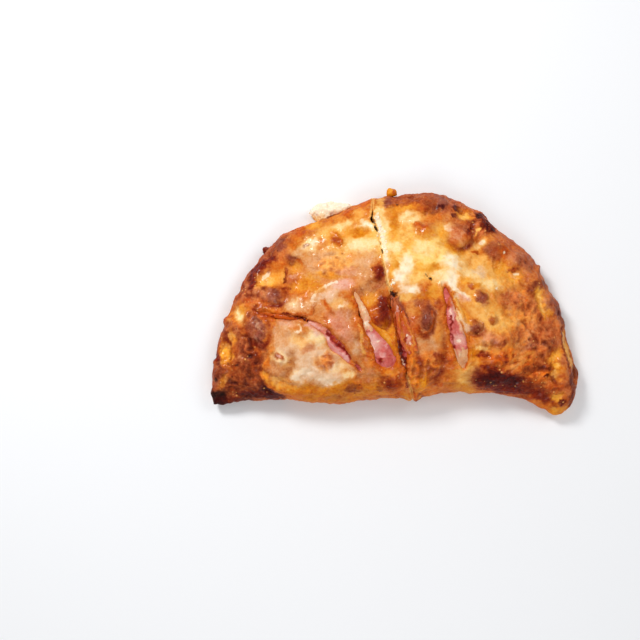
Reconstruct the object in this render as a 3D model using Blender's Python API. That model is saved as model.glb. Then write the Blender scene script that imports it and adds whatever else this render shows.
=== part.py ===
"""A calzone: a round of pizza dough folded over a ham and cheese filling, baked brown and cut once across.

Run it with: blender --background --python part.py
Metres, +Z up. It rests on z = 0 with the fold towards -Y, the sealed round edge towards +Y and its length along X.
The origin is the middle of the finished piece's footprint.
"""

import math

import bmesh
import bpy
import numpy as np
from mathutils import Vector

MM = 0.001

# Overall size
LENGTH = 276.0 * MM
DEPTH = 168.0 * MM
CROWN = 45.0 * MM

# The section through the dough
WIDEST_AT = 10.0 * MM  # height of the widest line above the table
FOOT_RADIUS = 9.0 * MM  # how far the flat underside starts in from the widest line
RIM_RADIUS = 11.0 * MM  # the round of the sealed edge
RIM_SHARE = 0.34  # the share of the crown's rise that the sealed edge takes, the rest being the slope behind it
SLOPE_REACH = 68.0 * MM
FOLD_RADIUS = 25.0 * MM  # the round of the fold
FOLD_SHARE = 0.74
FOLD_REACH = 58.0 * MM
RIM_ROLL = 2.4 * MM  # how far the sealed edge swells
RIM_ROLL_AT = 15.0 * MM

# Walls of dough round the filling
TOP_WALL = 5.0 * MM
SIDE_WALL = 13.0 * MM
BASE_WALL = 5.0 * MM
CLEARANCE = 0.3 * MM
FILLING_GAP = 0.7 * MM
SLIT_DEPTH = 6.0 * MM

# The knife cut that parts the two halves
CUT_GAP = 1.0 * MM

# Reach of the cutting blocks, which stand clear of the table and of the top
PRISM_FOOT, PRISM_TOP = 4.0 * MM, 80.0 * MM
THINNEST = 1.2 * MM
BELOW = 10.0 * MM

# Mesh fineness: segments round the outline and rings from pole to pole
OUTER_SEGMENTS, OUTER_RINGS = 104, 26
INNER_SEGMENTS, INNER_RINGS = 56, 16

HUB = np.array([2.0, 2.0]) * MM  # the point that every ring closes in on

# The plan of the folded dough, in mm, clockwise from the corner at the left end of the fold
OUTLINE = (
    (-137, -76), (-138, -52), (-131, -20), (-117, 12), (-100, 38), (-81, 54), (-53, 64),
    (-27, 76), (-14, 80.5), (10, 83), (32, 84), (49, 78), (64, 70), (79, 56),
    (102, 39), (117, 13), (128, -15), (138, -52), (136, -73), (124, -84),
    (103, -75), (79, -69), (41, -67), (15, -71), (-19, -73), (-53, -76), (-90, -73), (-119, -74),
)  # fmt: skip

RIGHT_CORNER = 19  # the outline's point where the sealed edge ends and the fold begins

# Large bubbles and hollows of the baked top: x, y, radius, height, in mm
PUFFS = (
    (-101, -21, 12, 2.6),
    (-89, 3, 11, 2.0),
    (-91, 20, 9, -1.8),
    (-60, -39, 24, -2.6),
    (-37, -24, 12, 2.0),
    (-14, -10, 9, 2.4),
    (20, -12, 14, 2.6),
    (-41, 32, 20, -1.2),
    (17, 56, 10, 1.6),
    (24, 26, 20, -1.6),
    (49, 46, 9, 2.8),
    (65, 60, 8, 2.6),
    (56, -24, 9, 2.4),
    (79, 31, 14, 2.2),
    (72, -29, 10, 1.8),
    (108, 2, 13, 2.0),
    (120, -48, 10, 2.2),
    (124, -74, 9, 2.4),
)

# The cut, from the sealed edge to the fold, and the four slits snipped in the top before baking: x, y, width, in mm
CUT = (
    (-14.5, 100), (-16, 77), (-18, 63), (-14.5, 55), (-12, 42), (-10, 29), (-7.5, 14),
    (-4.5, 4), (-3, -6), (0, -22), (2, -35), (4.5, -47), (9, -60), (15, -76), (17, -100),
)  # fmt: skip
SLITS = {
    "a": ((-106, -9, 1.2), (-91, -11.5, 1.2), (-70, -14, 1.6), (-56, -20, 4.5), (-45, -32, 7.5), (-35, -42, 5.5),
          (-27, -51, 1.4)),
    "b": ((-31, 5, 1.2), (-25, -9.5, 5), (-20, -22, 8), (-12.5, -32, 14.5), (-8.5, -43, 15.5), (-8.5, -48.5, 5)),
    "c": ((-4, 5, 1.6), (-2, -6.5, 5), (2, -20, 7.5), (4, -33, 7.5), (5, -44.5, 4), (6, -54, 1.4)),
    "d": ((34, 9.5, 1.2), (37, -3, 5), (42, -20, 9), (44.5, -33, 10.5), (46.5, -43.5, 7), (47.5, -49.5, 2)),
}  # fmt: skip

# Cheese that ran out of the seam: place and half size in mm, and knobbliness
LUMPS = {
    "cheese_ooze": ((-46, 70, 4.5), (17, 8.0, 8.0), 5.0, "melted_cheese"),
    "cheese_bead_back": ((-1.5, 84.0, 11.0), (4.0, 4.2, 3.6), 3.0, "baked_cheese"),
    "cheese_bead_left": ((-98.5, 41.5, 8.0), (3.4, 3.2, 3.0), 3.0, "baked_cheese"),
}

# The share of each slit's length where a slice of ham fills it
HAM_SPAN = {"a": (0.42, 0.98), "b": (0.42, 0.98), "c": (0.30, 0.86), "d": (0.06, 0.76)}
HAM_TOP = 1.9 * MM
HAM_BOTTOM = 8.0 * MM
HAM_EDGE = 0.55 * MM
POCKET_EDGE = 0.15 * MM

COLOURS = {
    "crust": ((0.58, 0.27, 0.09), 0.45),
    "filling": ((0.86, 0.74, 0.50), 0.40),
    "ham": ((0.74, 0.34, 0.30), 0.35),
    "melted_cheese": ((0.90, 0.82, 0.62), 0.38),
    "baked_cheese": ((0.82, 0.45, 0.10), 0.42),
}


# ---------------------------------------------------------------- outlines


def smooth_line(points, closed, per_span=12):
    """A Catmull-Rom line through the points, as an array of (x, y, ...) rows."""
    points = np.array(points, float)
    count = len(points)
    rows = []
    for i in range(count if closed else count - 1):
        if closed:
            a, b, c, d = (points[(i + k) % count] for k in (-1, 0, 1, 2))
        else:
            a, b, c, d = (points[min(max(i + k, 0), count - 1)] for k in (-1, 0, 1, 2))
        for step in range(per_span):
            t = step / per_span
            rows.append(
                0.5 * (2 * b + (c - a) * t + (2 * a - 5 * b + 4 * c - d) * t**2 + (3 * b - a - 3 * c + d) * t**3)
            )
    if not closed:
        rows.append(points[-1])
    return np.array(rows)


def evenly(line, count):
    """That many points, the same distance apart, round a closed line."""
    ring = np.vstack([line, line[:1]])
    along = np.concatenate([[0], np.cumsum(np.linalg.norm(np.diff(ring, axis=0), axis=1))])
    wanted = np.linspace(0, along[-1], count, endpoint=False)
    return np.column_stack([np.interp(wanted, along, ring[:, k]) for k in range(2)])


def fitted_outline():
    """The outline at its real length and depth."""
    line = smooth_line(OUTLINE, closed=True)
    low, high = line.min(axis=0), line.max(axis=0)
    size = np.array([LENGTH, DEPTH])
    return (line - (low + high) / 2) / (high - low) * size


EDGE = fitted_outline()


def edge_distances(xy):
    """How far each point lies from the sealed round edge and from the fold."""
    start, end = EDGE, np.roll(EDGE, -1, axis=0)
    sealed_spans = round(RIGHT_CORNER / len(OUTLINE) * len(EDGE))
    nearest = np.full((2, len(xy)), np.inf)
    for i, (a, d) in enumerate(zip(start, end - start)):
        t = np.clip(((xy - a) @ d) / (d @ d), 0, 1)
        away = np.linalg.norm(xy - a - t[:, None] * d, axis=1)
        side = int(i >= sealed_spans)
        nearest[side] = np.minimum(nearest[side], away)
    return nearest


def edge_distance(xy):
    """How far each point lies from the outline."""
    return edge_distances(xy).min(axis=0)


# ---------------------------------------------------------------- the dough's form


def hump(xy, x, y, radius):
    """A smooth bump of height 1 centred on x, y, all in metres."""
    away = (xy[:, 0] - x) ** 2 + (xy[:, 1] - y) ** 2
    return np.exp(-away / (0.72 * radius) ** 2)


def rounded(share):
    """A quarter circle's rise, from 0 at the edge to 1 and level."""
    return np.sqrt(np.clip(1 - (1 - np.clip(share, 0, 1)) ** 2, 0, 1))


def eased(share):
    """A rise that starts and ends level."""
    share = np.clip(share, 0, 1)
    return share**2 * (3 - 2 * share)


def top_height(xy):
    """The height of the baked top over each point of the plan."""
    from_seal, from_fold = edge_distances(xy)
    seal = RIM_SHARE * rounded(from_seal / RIM_RADIUS) + (1 - RIM_SHARE) * eased(from_seal / SLOPE_REACH)
    fold = FOLD_SHARE * rounded(from_fold / FOLD_RADIUS) + (1 - FOLD_SHARE) * eased(from_fold / FOLD_REACH)
    roll = np.exp(-(((from_seal - RIM_ROLL_AT) / (9 * MM)) ** 2)) * eased(from_fold / FOLD_RADIUS)
    height = WIDEST_AT + (CROWN - WIDEST_AT) * seal * fold + RIM_ROLL * roll
    settle = eased(np.minimum(from_seal, from_fold) / (8 * MM))
    for x, y, radius, lift in PUFFS:
        height += settle * lift * MM * hump(xy, x * MM, y * MM, radius * MM)
    return height


def foot_height(xy):
    """The height of the underside: flat, turning up to the widest line."""
    away = edge_distance(xy)
    turn = np.clip(1 - away / FOOT_RADIUS, 0, 1)
    return WIDEST_AT * (1 - np.sqrt(1 - turn**2))


class Spokes:
    """Lines from the hub out to points evenly spaced round the outline, set in by side."""

    def __init__(self, count, side):
        outline = evenly(EDGE, count)
        bearing = np.arctan2(outline[:, 1] - HUB[1], outline[:, 0] - HUB[0])
        self.run = outline[np.argsort(bearing)] - HUB
        if side:
            self.run *= self.share_inside(side)[:, None]

    def share_inside(self, side):
        """The share of each spoke whose end lies that far in from the edge."""
        share = np.ones(len(self.run))
        waiting = np.ones(len(self.run), bool)
        for tried in np.linspace(1, 0.05, 400):
            share[waiting] = tried
            waiting &= edge_distance(HUB + self.run * tried) < side
        return share

    def at(self, spoke, share):
        """The point of each spoke at that share of its way out from the hub."""
        return HUB + self.run[spoke] * share[:, None]


def dough_form(name, top, side, base, segments, rings):
    """The calzone's whole form set in by top, side and base: a ball pressed into the half-moon outline."""
    bm = bmesh.new()
    bmesh.ops.create_uvsphere(bm, u_segments=segments, v_segments=rings, radius=1)
    ball = np.array([vert.co for vert in bm.verts])
    spokes = Spokes(segments, side)
    turn = np.arctan2(ball[:, 1], ball[:, 0]) / (2 * math.pi) * segments
    spoke = np.round(turn).astype(int) % segments
    xy = spokes.at(spoke, np.hypot(ball[:, 0], ball[:, 1]))
    ground = foot_height(xy) + base
    crust = top_height(xy) - top
    if side:
        crust = np.maximum(crust, ground + THINNEST)
    level = np.abs(ball[:, 2]) < 1e-4
    height = np.where(ball[:, 2] > 0, crust, ground)
    height[level] = WIDEST_AT
    for vert, (x, y), z in zip(bm.verts, xy, height):
        vert.co = (x, y, z)
    bmesh.ops.triangulate(bm, faces=bm.faces)
    return placed(name, bm)


# ---------------------------------------------------------------- objects


def placed(name, bm, where="cutters"):
    """A bmesh as an object in the collection of parts or of cutters."""
    mesh = bpy.data.meshes.new(name)
    bm.to_mesh(mesh)
    bm.free()
    obj = bpy.data.objects.new(name, mesh)
    bpy.data.collections[where].objects.link(obj)
    if where == "cutters":
        obj.hide_render = True
        obj.display_type = "WIRE"
    return obj


def prism(name, outline, low, high):
    """An upright block on a closed plan outline."""
    bm = bmesh.new()
    floor = bm.faces.new([bm.verts.new((x, y, low)) for x, y in outline])
    made = bmesh.ops.extrude_face_region(bm, geom=[floor])["geom"]
    lifted = [item for item in made if isinstance(item, bmesh.types.BMVert)]
    bmesh.ops.translate(bm, verts=lifted, vec=(0, 0, high - low))
    bmesh.ops.recalc_face_normals(bm, faces=bm.faces)
    return placed(name, bm)


def slit_outline(stations, inset, first=0.0, last=1.0):
    """The plan of a slit, or of that share of its length, with its sides set in."""
    line = smooth_line(stations, closed=False, per_span=4) * MM
    count = len(line) - 1
    line = line[round(first * count) : round(last * count) + 1]
    along = np.gradient(line[:, :2], axis=0)
    along /= np.linalg.norm(along, axis=1)[:, None]
    left = np.column_stack([-along[:, 1], along[:, 0]])
    half = np.maximum(line[:, 2] / 2 - inset, 0.3 * MM)[:, None]
    return np.vstack([line[:, :2] + left * half, (line[:, :2] - left * half)[::-1]])


def cut_side(name, direction):
    """The space on one side of the knife cut, -1 for the left half and +1 for the right."""
    line = np.array(CUT, float) * MM
    line[:, 0] += direction * CUT_GAP / 2
    far = direction * LENGTH
    return prism(name, [*line, (far, line[-1, 1]), (far, line[0, 1])], -PRISM_TOP, PRISM_TOP)


def boolean(obj, other, operation):
    modifier = obj.modifiers.new(f"{operation.title()} {other.name}", "BOOLEAN")
    modifier.operation = operation
    modifier.object = other
    modifier.solver = "EXACT"


def copied(source, name, where="cutters"):
    """Another object of the same mesh, without modifiers."""
    obj = bpy.data.objects.new(name, source.data)
    bpy.data.collections[where].objects.link(obj)
    if where == "cutters":
        obj.hide_render = True
        obj.display_type = "WIRE"
    return obj


def material(name):
    colour, roughness = COLOURS[name]
    made = bpy.data.materials.get(name) or bpy.data.materials.new(name)
    made.use_nodes = True
    shader = made.node_tree.nodes["Principled BSDF"]
    shader.inputs["Base Color"].default_value = (*colour, 1.0)
    shader.inputs["Roughness"].default_value = roughness
    shader.inputs["Metallic"].default_value = 0.0
    return made


def finished(obj, material_name):
    """Smooth faces and a material."""
    obj.data.materials.clear()
    obj.data.materials.append(material(material_name))
    obj.data.shade_smooth()
    return obj


# ---------------------------------------------------------------- the pieces


def crust_halves(forms, sides, cutters):
    """The dough: a closed shell, opened by the slits and parted by the cut."""
    for half, side in sides.items():
        crust = copied(forms["outer"], f"crust_{half}", "calzone")
        boolean(crust, forms["cavity"], "DIFFERENCE")
        boolean(crust, side, "INTERSECT")
        for cutter in cutters.values():
            boolean(crust, cutter, "DIFFERENCE")
        finished(crust, "crust")


def filling_halves(forms, sides, pockets):
    """The ham and cheese that runs through the dough and shows in the slits and the cut."""
    for half, side in sides.items():
        filling = copied(forms["cavity"], f"filling_{half}", "calzone")
        filling.data = filling.data.copy()
        shrink = filling.modifiers.new("Clear of the dough", "DISPLACE")
        shrink.direction = "NORMAL"
        shrink.mid_level = 0
        shrink.strength = -FILLING_GAP
        boolean(filling, side, "INTERSECT")
        for pocket in pockets.values():
            boolean(filling, pocket, "DIFFERENCE")
        finished(filling, "filling")


def slit_cutters(forms):
    """A block for each slit, ending a little way down in the dough."""
    cutters = {}
    for name, stations in SLITS.items():
        cutter = prism(f"slit_{name}", slit_outline(stations, 0), PRISM_FOOT, PRISM_TOP)
        boolean(cutter, forms["slit_floor"], "DIFFERENCE")
        cutters[name] = cutter
    return cutters


def ham_slices(forms, sides):
    """A folded slice standing in each slit, and the pocket that it takes from the filling."""
    pockets = {}
    for name, stations in SLITS.items():
        first, last = HAM_SPAN[name]
        blank = prism(f"ham_{name}_blank", slit_outline(stations, HAM_EDGE, first, last), PRISM_FOOT, PRISM_TOP)
        slice_ = copied(blank, f"ham_slice_{name}", "calzone")
        boolean(slice_, forms["ham_top"], "INTERSECT")
        boolean(slice_, forms["ham_floor"], "DIFFERENCE")
        if name == "c":
            boolean(slice_, sides["right"], "INTERSECT")
        finished(slice_, "ham")
        pocket = prism(f"pocket_{name}", slit_outline(stations, POCKET_EDGE, first, last), PRISM_FOOT, PRISM_TOP)
        boolean(pocket, forms["pocket_floor"], "DIFFERENCE")
        pockets[name] = pocket
    return pockets


def cheese_lumps(forms):
    """Knobbly drops of cheese, moulded against the outside of the crust."""
    near_crust = copied(forms["outer"], "near_crust")
    grow = near_crust.modifiers.new("Clear of the crust", "DISPLACE")
    grow.direction = "NORMAL"
    grow.mid_level = 0
    grow.strength = CLEARANCE
    for name, (at, size, knobs, material_name) in LUMPS.items():
        bm = bmesh.new()
        bmesh.ops.create_uvsphere(bm, u_segments=20, v_segments=12, radius=1)
        for vert in bm.verts:
            x, y, z = vert.co
            ripple = 1 + 0.13 * math.sin(knobs * x + 1) * math.cos(knobs * y) + 0.06 * math.sin(2 * knobs * z)
            vert.co = [(at[i] + size[i] * vert.co[i] * ripple) * MM for i in range(3)]
            vert.co.z = max(vert.co.z, 0.0)
        drop = placed(name, bm, "calzone")
        boolean(drop, near_crust, "DIFFERENCE")
        finished(drop, material_name)


def centre_the_footprint():
    """Every object moved, by its own mesh, so that the origin is the middle of the whole footprint."""
    bpy.context.view_layer.update()
    graph = bpy.context.evaluated_depsgraph_get()
    corners = [
        Vector(corner) for obj in bpy.data.collections["calzone"].objects for corner in obj.evaluated_get(graph).bound_box
    ]
    middle = [(min(c[i] for c in corners) + max(c[i] for c in corners)) / 2 for i in range(2)]
    for obj in bpy.data.objects:
        obj.location = (-middle[0], -middle[1], 0)


def clear_the_scene():
    for obj in list(bpy.data.objects):
        bpy.data.objects.remove(obj)
    for name in ("calzone", "cutters"):
        bpy.context.scene.collection.children.link(bpy.data.collections.new(name))


def build():
    clear_the_scene()
    inner = (INNER_SEGMENTS, INNER_RINGS)
    outer = (OUTER_SEGMENTS, OUTER_RINGS)
    forms = {
        "outer": dough_form("outer_form", 0, 0, 0, *outer),
        "cavity": dough_form("cavity_form", TOP_WALL, SIDE_WALL, BASE_WALL, *inner),
        "slit_floor": dough_form("slit_floor", SLIT_DEPTH, 2 * MM, -BELOW, *inner),
        "ham_top": dough_form("ham_top", HAM_TOP, 2 * MM, -BELOW, *inner),
        "ham_floor": dough_form("ham_floor", HAM_BOTTOM, 2 * MM, -BELOW, *inner),
        "pocket_floor": dough_form("pocket_floor", HAM_BOTTOM + CLEARANCE, 2 * MM, -BELOW, *inner),
    }
    sides = {"left": cut_side("left_side", -1), "right": cut_side("right_side", 1)}
    crust_halves(forms, sides, slit_cutters(forms))
    filling_halves(forms, sides, ham_slices(forms, sides))
    cheese_lumps(forms)
    centre_the_footprint()


build()
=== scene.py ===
"""The looks of a calzone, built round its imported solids: browned dough, melted cheese and slices of ham.

Places in the lists below are in millimetres on a plan at the height of the dough's rim, +X right and +Y back.
The plan is what the eye over the table sees, so a mark on the high crown lies a little nearer to the eye.
"""

import math

import bpy
import numpy as np
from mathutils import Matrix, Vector
from mathutils.bvhtree import BVHTree


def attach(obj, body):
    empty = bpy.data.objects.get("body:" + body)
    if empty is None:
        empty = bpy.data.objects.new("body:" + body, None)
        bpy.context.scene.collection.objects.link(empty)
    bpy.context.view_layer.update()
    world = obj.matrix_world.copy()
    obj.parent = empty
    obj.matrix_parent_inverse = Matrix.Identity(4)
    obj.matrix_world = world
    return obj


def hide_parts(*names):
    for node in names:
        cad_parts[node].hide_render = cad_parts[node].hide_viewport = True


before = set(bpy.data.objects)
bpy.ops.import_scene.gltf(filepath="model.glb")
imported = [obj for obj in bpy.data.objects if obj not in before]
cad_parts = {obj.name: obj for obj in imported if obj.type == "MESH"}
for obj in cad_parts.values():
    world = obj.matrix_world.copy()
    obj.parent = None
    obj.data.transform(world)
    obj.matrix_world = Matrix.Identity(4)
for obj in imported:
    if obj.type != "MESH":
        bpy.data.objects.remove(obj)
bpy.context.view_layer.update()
bpy.ops.object.select_all(action="DESELECT")

MM = 0.001
EYE = np.array([-56.0, -58.0, 709.0]) * MM
AIM = np.array([-56.0, -15.2, 10.0]) * MM
PLAN_HEIGHT = 10.0 * MM
FIELD_WIDTH = 484.9 * MM  # how much of the plan the view takes in

CRUST_GRAIN = 0.75 * MM
FILLING_GRAIN = 1.3 * MM
HAM_GRAIN = 0.5 * MM
LUMP_GRAIN = 0.5 * MM

# ---------------------------------------------------------------- noise and brush shapes

LATTICE_SIZE = 48
LATTICE = np.random.default_rng(11).uniform(-1, 1, (LATTICE_SIZE,) * 3)
CLOUD_GAIN = 1.6  # brings the smoothed lattice back to a range of about -1 to 1
OUTER_SOFTNESS = 0.55  # how far a fully soft edge fades outwards, as a share of the mark
INNER_SOFTNESS = 0.75  # and how far inwards


def cloud(points, size, octaves=1, seed=0):
    """Smooth noise from about -1 to 1: lumps of that size, and half as large at each further octave."""
    total = np.zeros(len(points))
    weight, weights = 1.0, 0.0
    for octave in range(octaves):
        where = points / size * 2.0**octave + 7.31 * (seed + 1) + 3.7 * octave
        cell = np.floor(where).astype(int)
        part = where - cell
        part = part * part * (3 - 2 * part)
        value = np.zeros(len(points))
        for corner in range(8):
            step = np.array([corner & 1, corner >> 1 & 1, corner >> 2 & 1])
            share = np.prod(np.where(step, part, 1 - part), axis=1)
            at = (cell + step) % LATTICE_SIZE
            value += share * LATTICE[at[:, 0], at[:, 1], at[:, 2]]
        total += weight * value
        weights += weight
        weight *= 0.5
    return total / weights * CLOUD_GAIN


def wander(points, size, octaves, seeds):
    """Noise in two directions, by which the edges of marks and bumps stray."""
    return np.column_stack([cloud(points, size, octaves, seed) for seed in seeds])


def soft_step(value, low, high):
    """0 below low, 1 above high, and an even rise between."""
    share = np.clip((value - low) / (high - low), 0, 1)
    return share * share * (3 - 2 * share)


def hump(value, middle, width):
    """1 in the middle and nearly 0 beyond twice the width."""
    return np.exp(-(((value - middle) / width) ** 2))


def plan_of(points):
    """Where each point lies on the plan, in millimetres."""
    reach = (EYE[2] - PLAN_HEIGHT) / (EYE[2] - points[:, 2:3])
    return (EYE[:2] + (points[:, :2] - EYE[:2]) * reach) / MM


def surface_of(x, y, height):
    """The point at that height which shows at x, y on the plan, in metres."""
    reach = (EYE[2] - height) / (EYE[2] - PLAN_HEIGHT)
    flat = EYE[:2] + (np.array([x, y]) * MM - EYE[:2]) * reach
    return Vector((flat[0], flat[1], height))


def soft_cover(away, hardness):
    """1 in the middle of a mark whose edge is 1 away, and 0 well outside it."""
    soft = 1 - hardness
    return soft_step(-away, -1 - OUTER_SOFTNESS * soft, -1 + INNER_SOFTNESS * soft + 1e-6)


def oval_distance(plan, x, y, rx, ry, turn):
    """How far each point of the plan is from an oval's middle, as a share of its size in that direction."""
    c, s = math.cos(math.radians(turn)), math.sin(math.radians(turn))
    dx, dy = plan[:, 0] - x, plan[:, 1] - y
    return np.hypot((c * dx + s * dy) / rx, (c * dy - s * dx) / ry)


def dab_cover(plan, x, y, rx, ry, turn, hardness):
    """How much an oval dab covers each point of the plan."""
    return soft_cover(oval_distance(plan, x, y, rx, ry, turn), hardness)


def run_distance(plan, a, b):
    """How far each point of the plan is from the straight run from a to b, and how far along that is."""
    d = b - a
    t = np.clip(((plan - a) @ d) / (d @ d), 0, 1)
    return np.hypot(*(plan - a - t[:, None] * d).T), t


def band_cover(plan, route, width, hardness):
    """How much a band drawn along a route covers each point of the plan."""
    stops = np.array(route, float)
    away = np.min([run_distance(plan, a, b)[0] for a, b in zip(stops[:-1], stops[1:])], axis=0)
    return soft_cover(away / (width / 2), hardness)


def tone(red, green, blue):
    """A colour picked on screen, 0 to 255, as shares from 0 to 1. Tones are blended as such shares."""
    return np.array([red, green, blue]) / 255


def linear(shares):
    """Screen shares as the linear values that materials use."""
    shares = np.clip(shares, 0, 1)
    return np.where(shares <= 0.04045, shares / 12.92, ((shares + 0.055) / 1.055) ** 2.4)


def laid_over(colour, shade, share):
    """A colour with a tone laid over it by a share at each point."""
    share = share[:, None]
    return colour * (1 - share) + TONES[shade] * share


# ---------------------------------------------------------------- what the oven did: tones and marks

TONES = {
    "soot": tone(34, 10, 6),
    "char": tone(66, 4, 0),
    "mahogany": tone(108, 20, 0),
    "umber": tone(122, 50, 22),
    # a purplish brown: partly the dark blisters' own colour, partly a painted grey sheen on their tops
    "mauve": tone(134, 66, 54),
    "russet": tone(160, 72, 34),
    "clay": tone(186, 94, 52),
    "rust": tone(186, 76, 10),
    "chestnut": tone(210, 112, 34),
    "amber": tone(216, 128, 14),
    "ochre": tone(224, 142, 62),
    "gold": tone(240, 164, 54),
    "honey": tone(246, 188, 106),
    "butter": tone(250, 208, 124),
    "cream": tone(251, 218, 160),
    # the palest cream: melted cheese, and also the tone of painted highlights on crust, ham and curl
    "milk": tone(252, 234, 206),
    "oat": tone(228, 184, 144),
    "beige": tone(217, 158, 112),
    "fawn": tone(200, 134, 90),
    "tan": tone(180, 112, 66),
    "blush": tone(214, 138, 112),
    "rose": tone(228, 164, 146),
    "ham": tone(206, 100, 92),
    "ham_pale": tone(230, 176, 166),
    # dark red of the ham, also painted shadow where a slit's edge or the knife cut shades it
    "ham_dark": tone(128, 20, 10),
    "salmon": tone(196, 88, 48),
}

# Dabs: tone, x, y, half length, half width, turn, strength. Bands: tone, route, width, strength.
# They go on in order, from broad grounds to small marks.
# The tones were read off the food as it was lit, so the grounds also carry some painted shade, a little more
# towards the front.
GROUNDS = (
    ("clay", [(-137, -70), (-132, -40), (-124, -12), (-112, 12), (-97, 34), (-80, 48), (-62, 57)], 34, 1.0),
    ("umber", -113, -52, 27, 30, 12, 0.95),
    ("russet", -112, 4, 14, 12, 50, 0.6),
    ("russet", [(-132, -30), (-120, 0), (-104, 26), (-86, 44)], 9, 0.8),
    ("chestnut", [(-66, 56), (-40, 65), (-20, 73), (-10, 77)], 10, 0.85),
    ("russet", [(-6, 78), (10, 78), (30, 77), (45, 73)], 17, 0.95),
    ("clay", [(45, 72), (66, 60), (90, 42), (104, 26),
             (114, 8), (122, -14), (127, -40), (131, -70)], 24, 0.9),
    ("ochre", 88, -14, 30, 34, 0, 0.95),
    ("clay", 106, -22, 16, 28, 10, 0.75),
    ("rust", 96, -48, 30, 9, -8, 0.6),
    ("honey", -34, 44, 32, 17, 14, 0.95),
    ("beige", -42, 26, 30, 15, 4, 0.9),
    ("beige", -62, 26, 9, 17, 0, 0.7),
    ("butter", 22, 36, 36, 26, -12, 1.0),
    ("honey", 66, 20, 22, 15, -24, 0.9),
    ("honey", 68, -8, 22, 9, -46, 0.85),
    ("oat", -70, -40, 25, 27, 10, 0.95),
    ("beige", -48, -4, 18, 12, -30, 0.8),
    ("oat", -56, -52, 26, 15, 6, 0.8),
    ("blush", -40, -18, 10, 16, 30, 0.75),
    ("fawn", -30, -40, 8, 20, 12, 0.75),
    ("amber", -7, -24, 8, 26, 6, 0.95),
    ("chestnut", 20, -46, 18, 24, 0, 0.8),
    ("fawn", 30, -28, 7, 16, 6, 0.6),
    ("clay", 18, -12, 15, 14, 0, 0.8),
    ("beige", 28, -24, 9, 16, 8, 0.75),
    ("amber", [(-66, -71), (-40, -70), (-20, -66), (0, -68)], 15, 0.8),
    ("chestnut", [(-4, -66), (20, -62), (42, -62)], 14, 0.7),
    ("honey", 55, -56, 9, 13, -20, 1.0),
)

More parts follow.
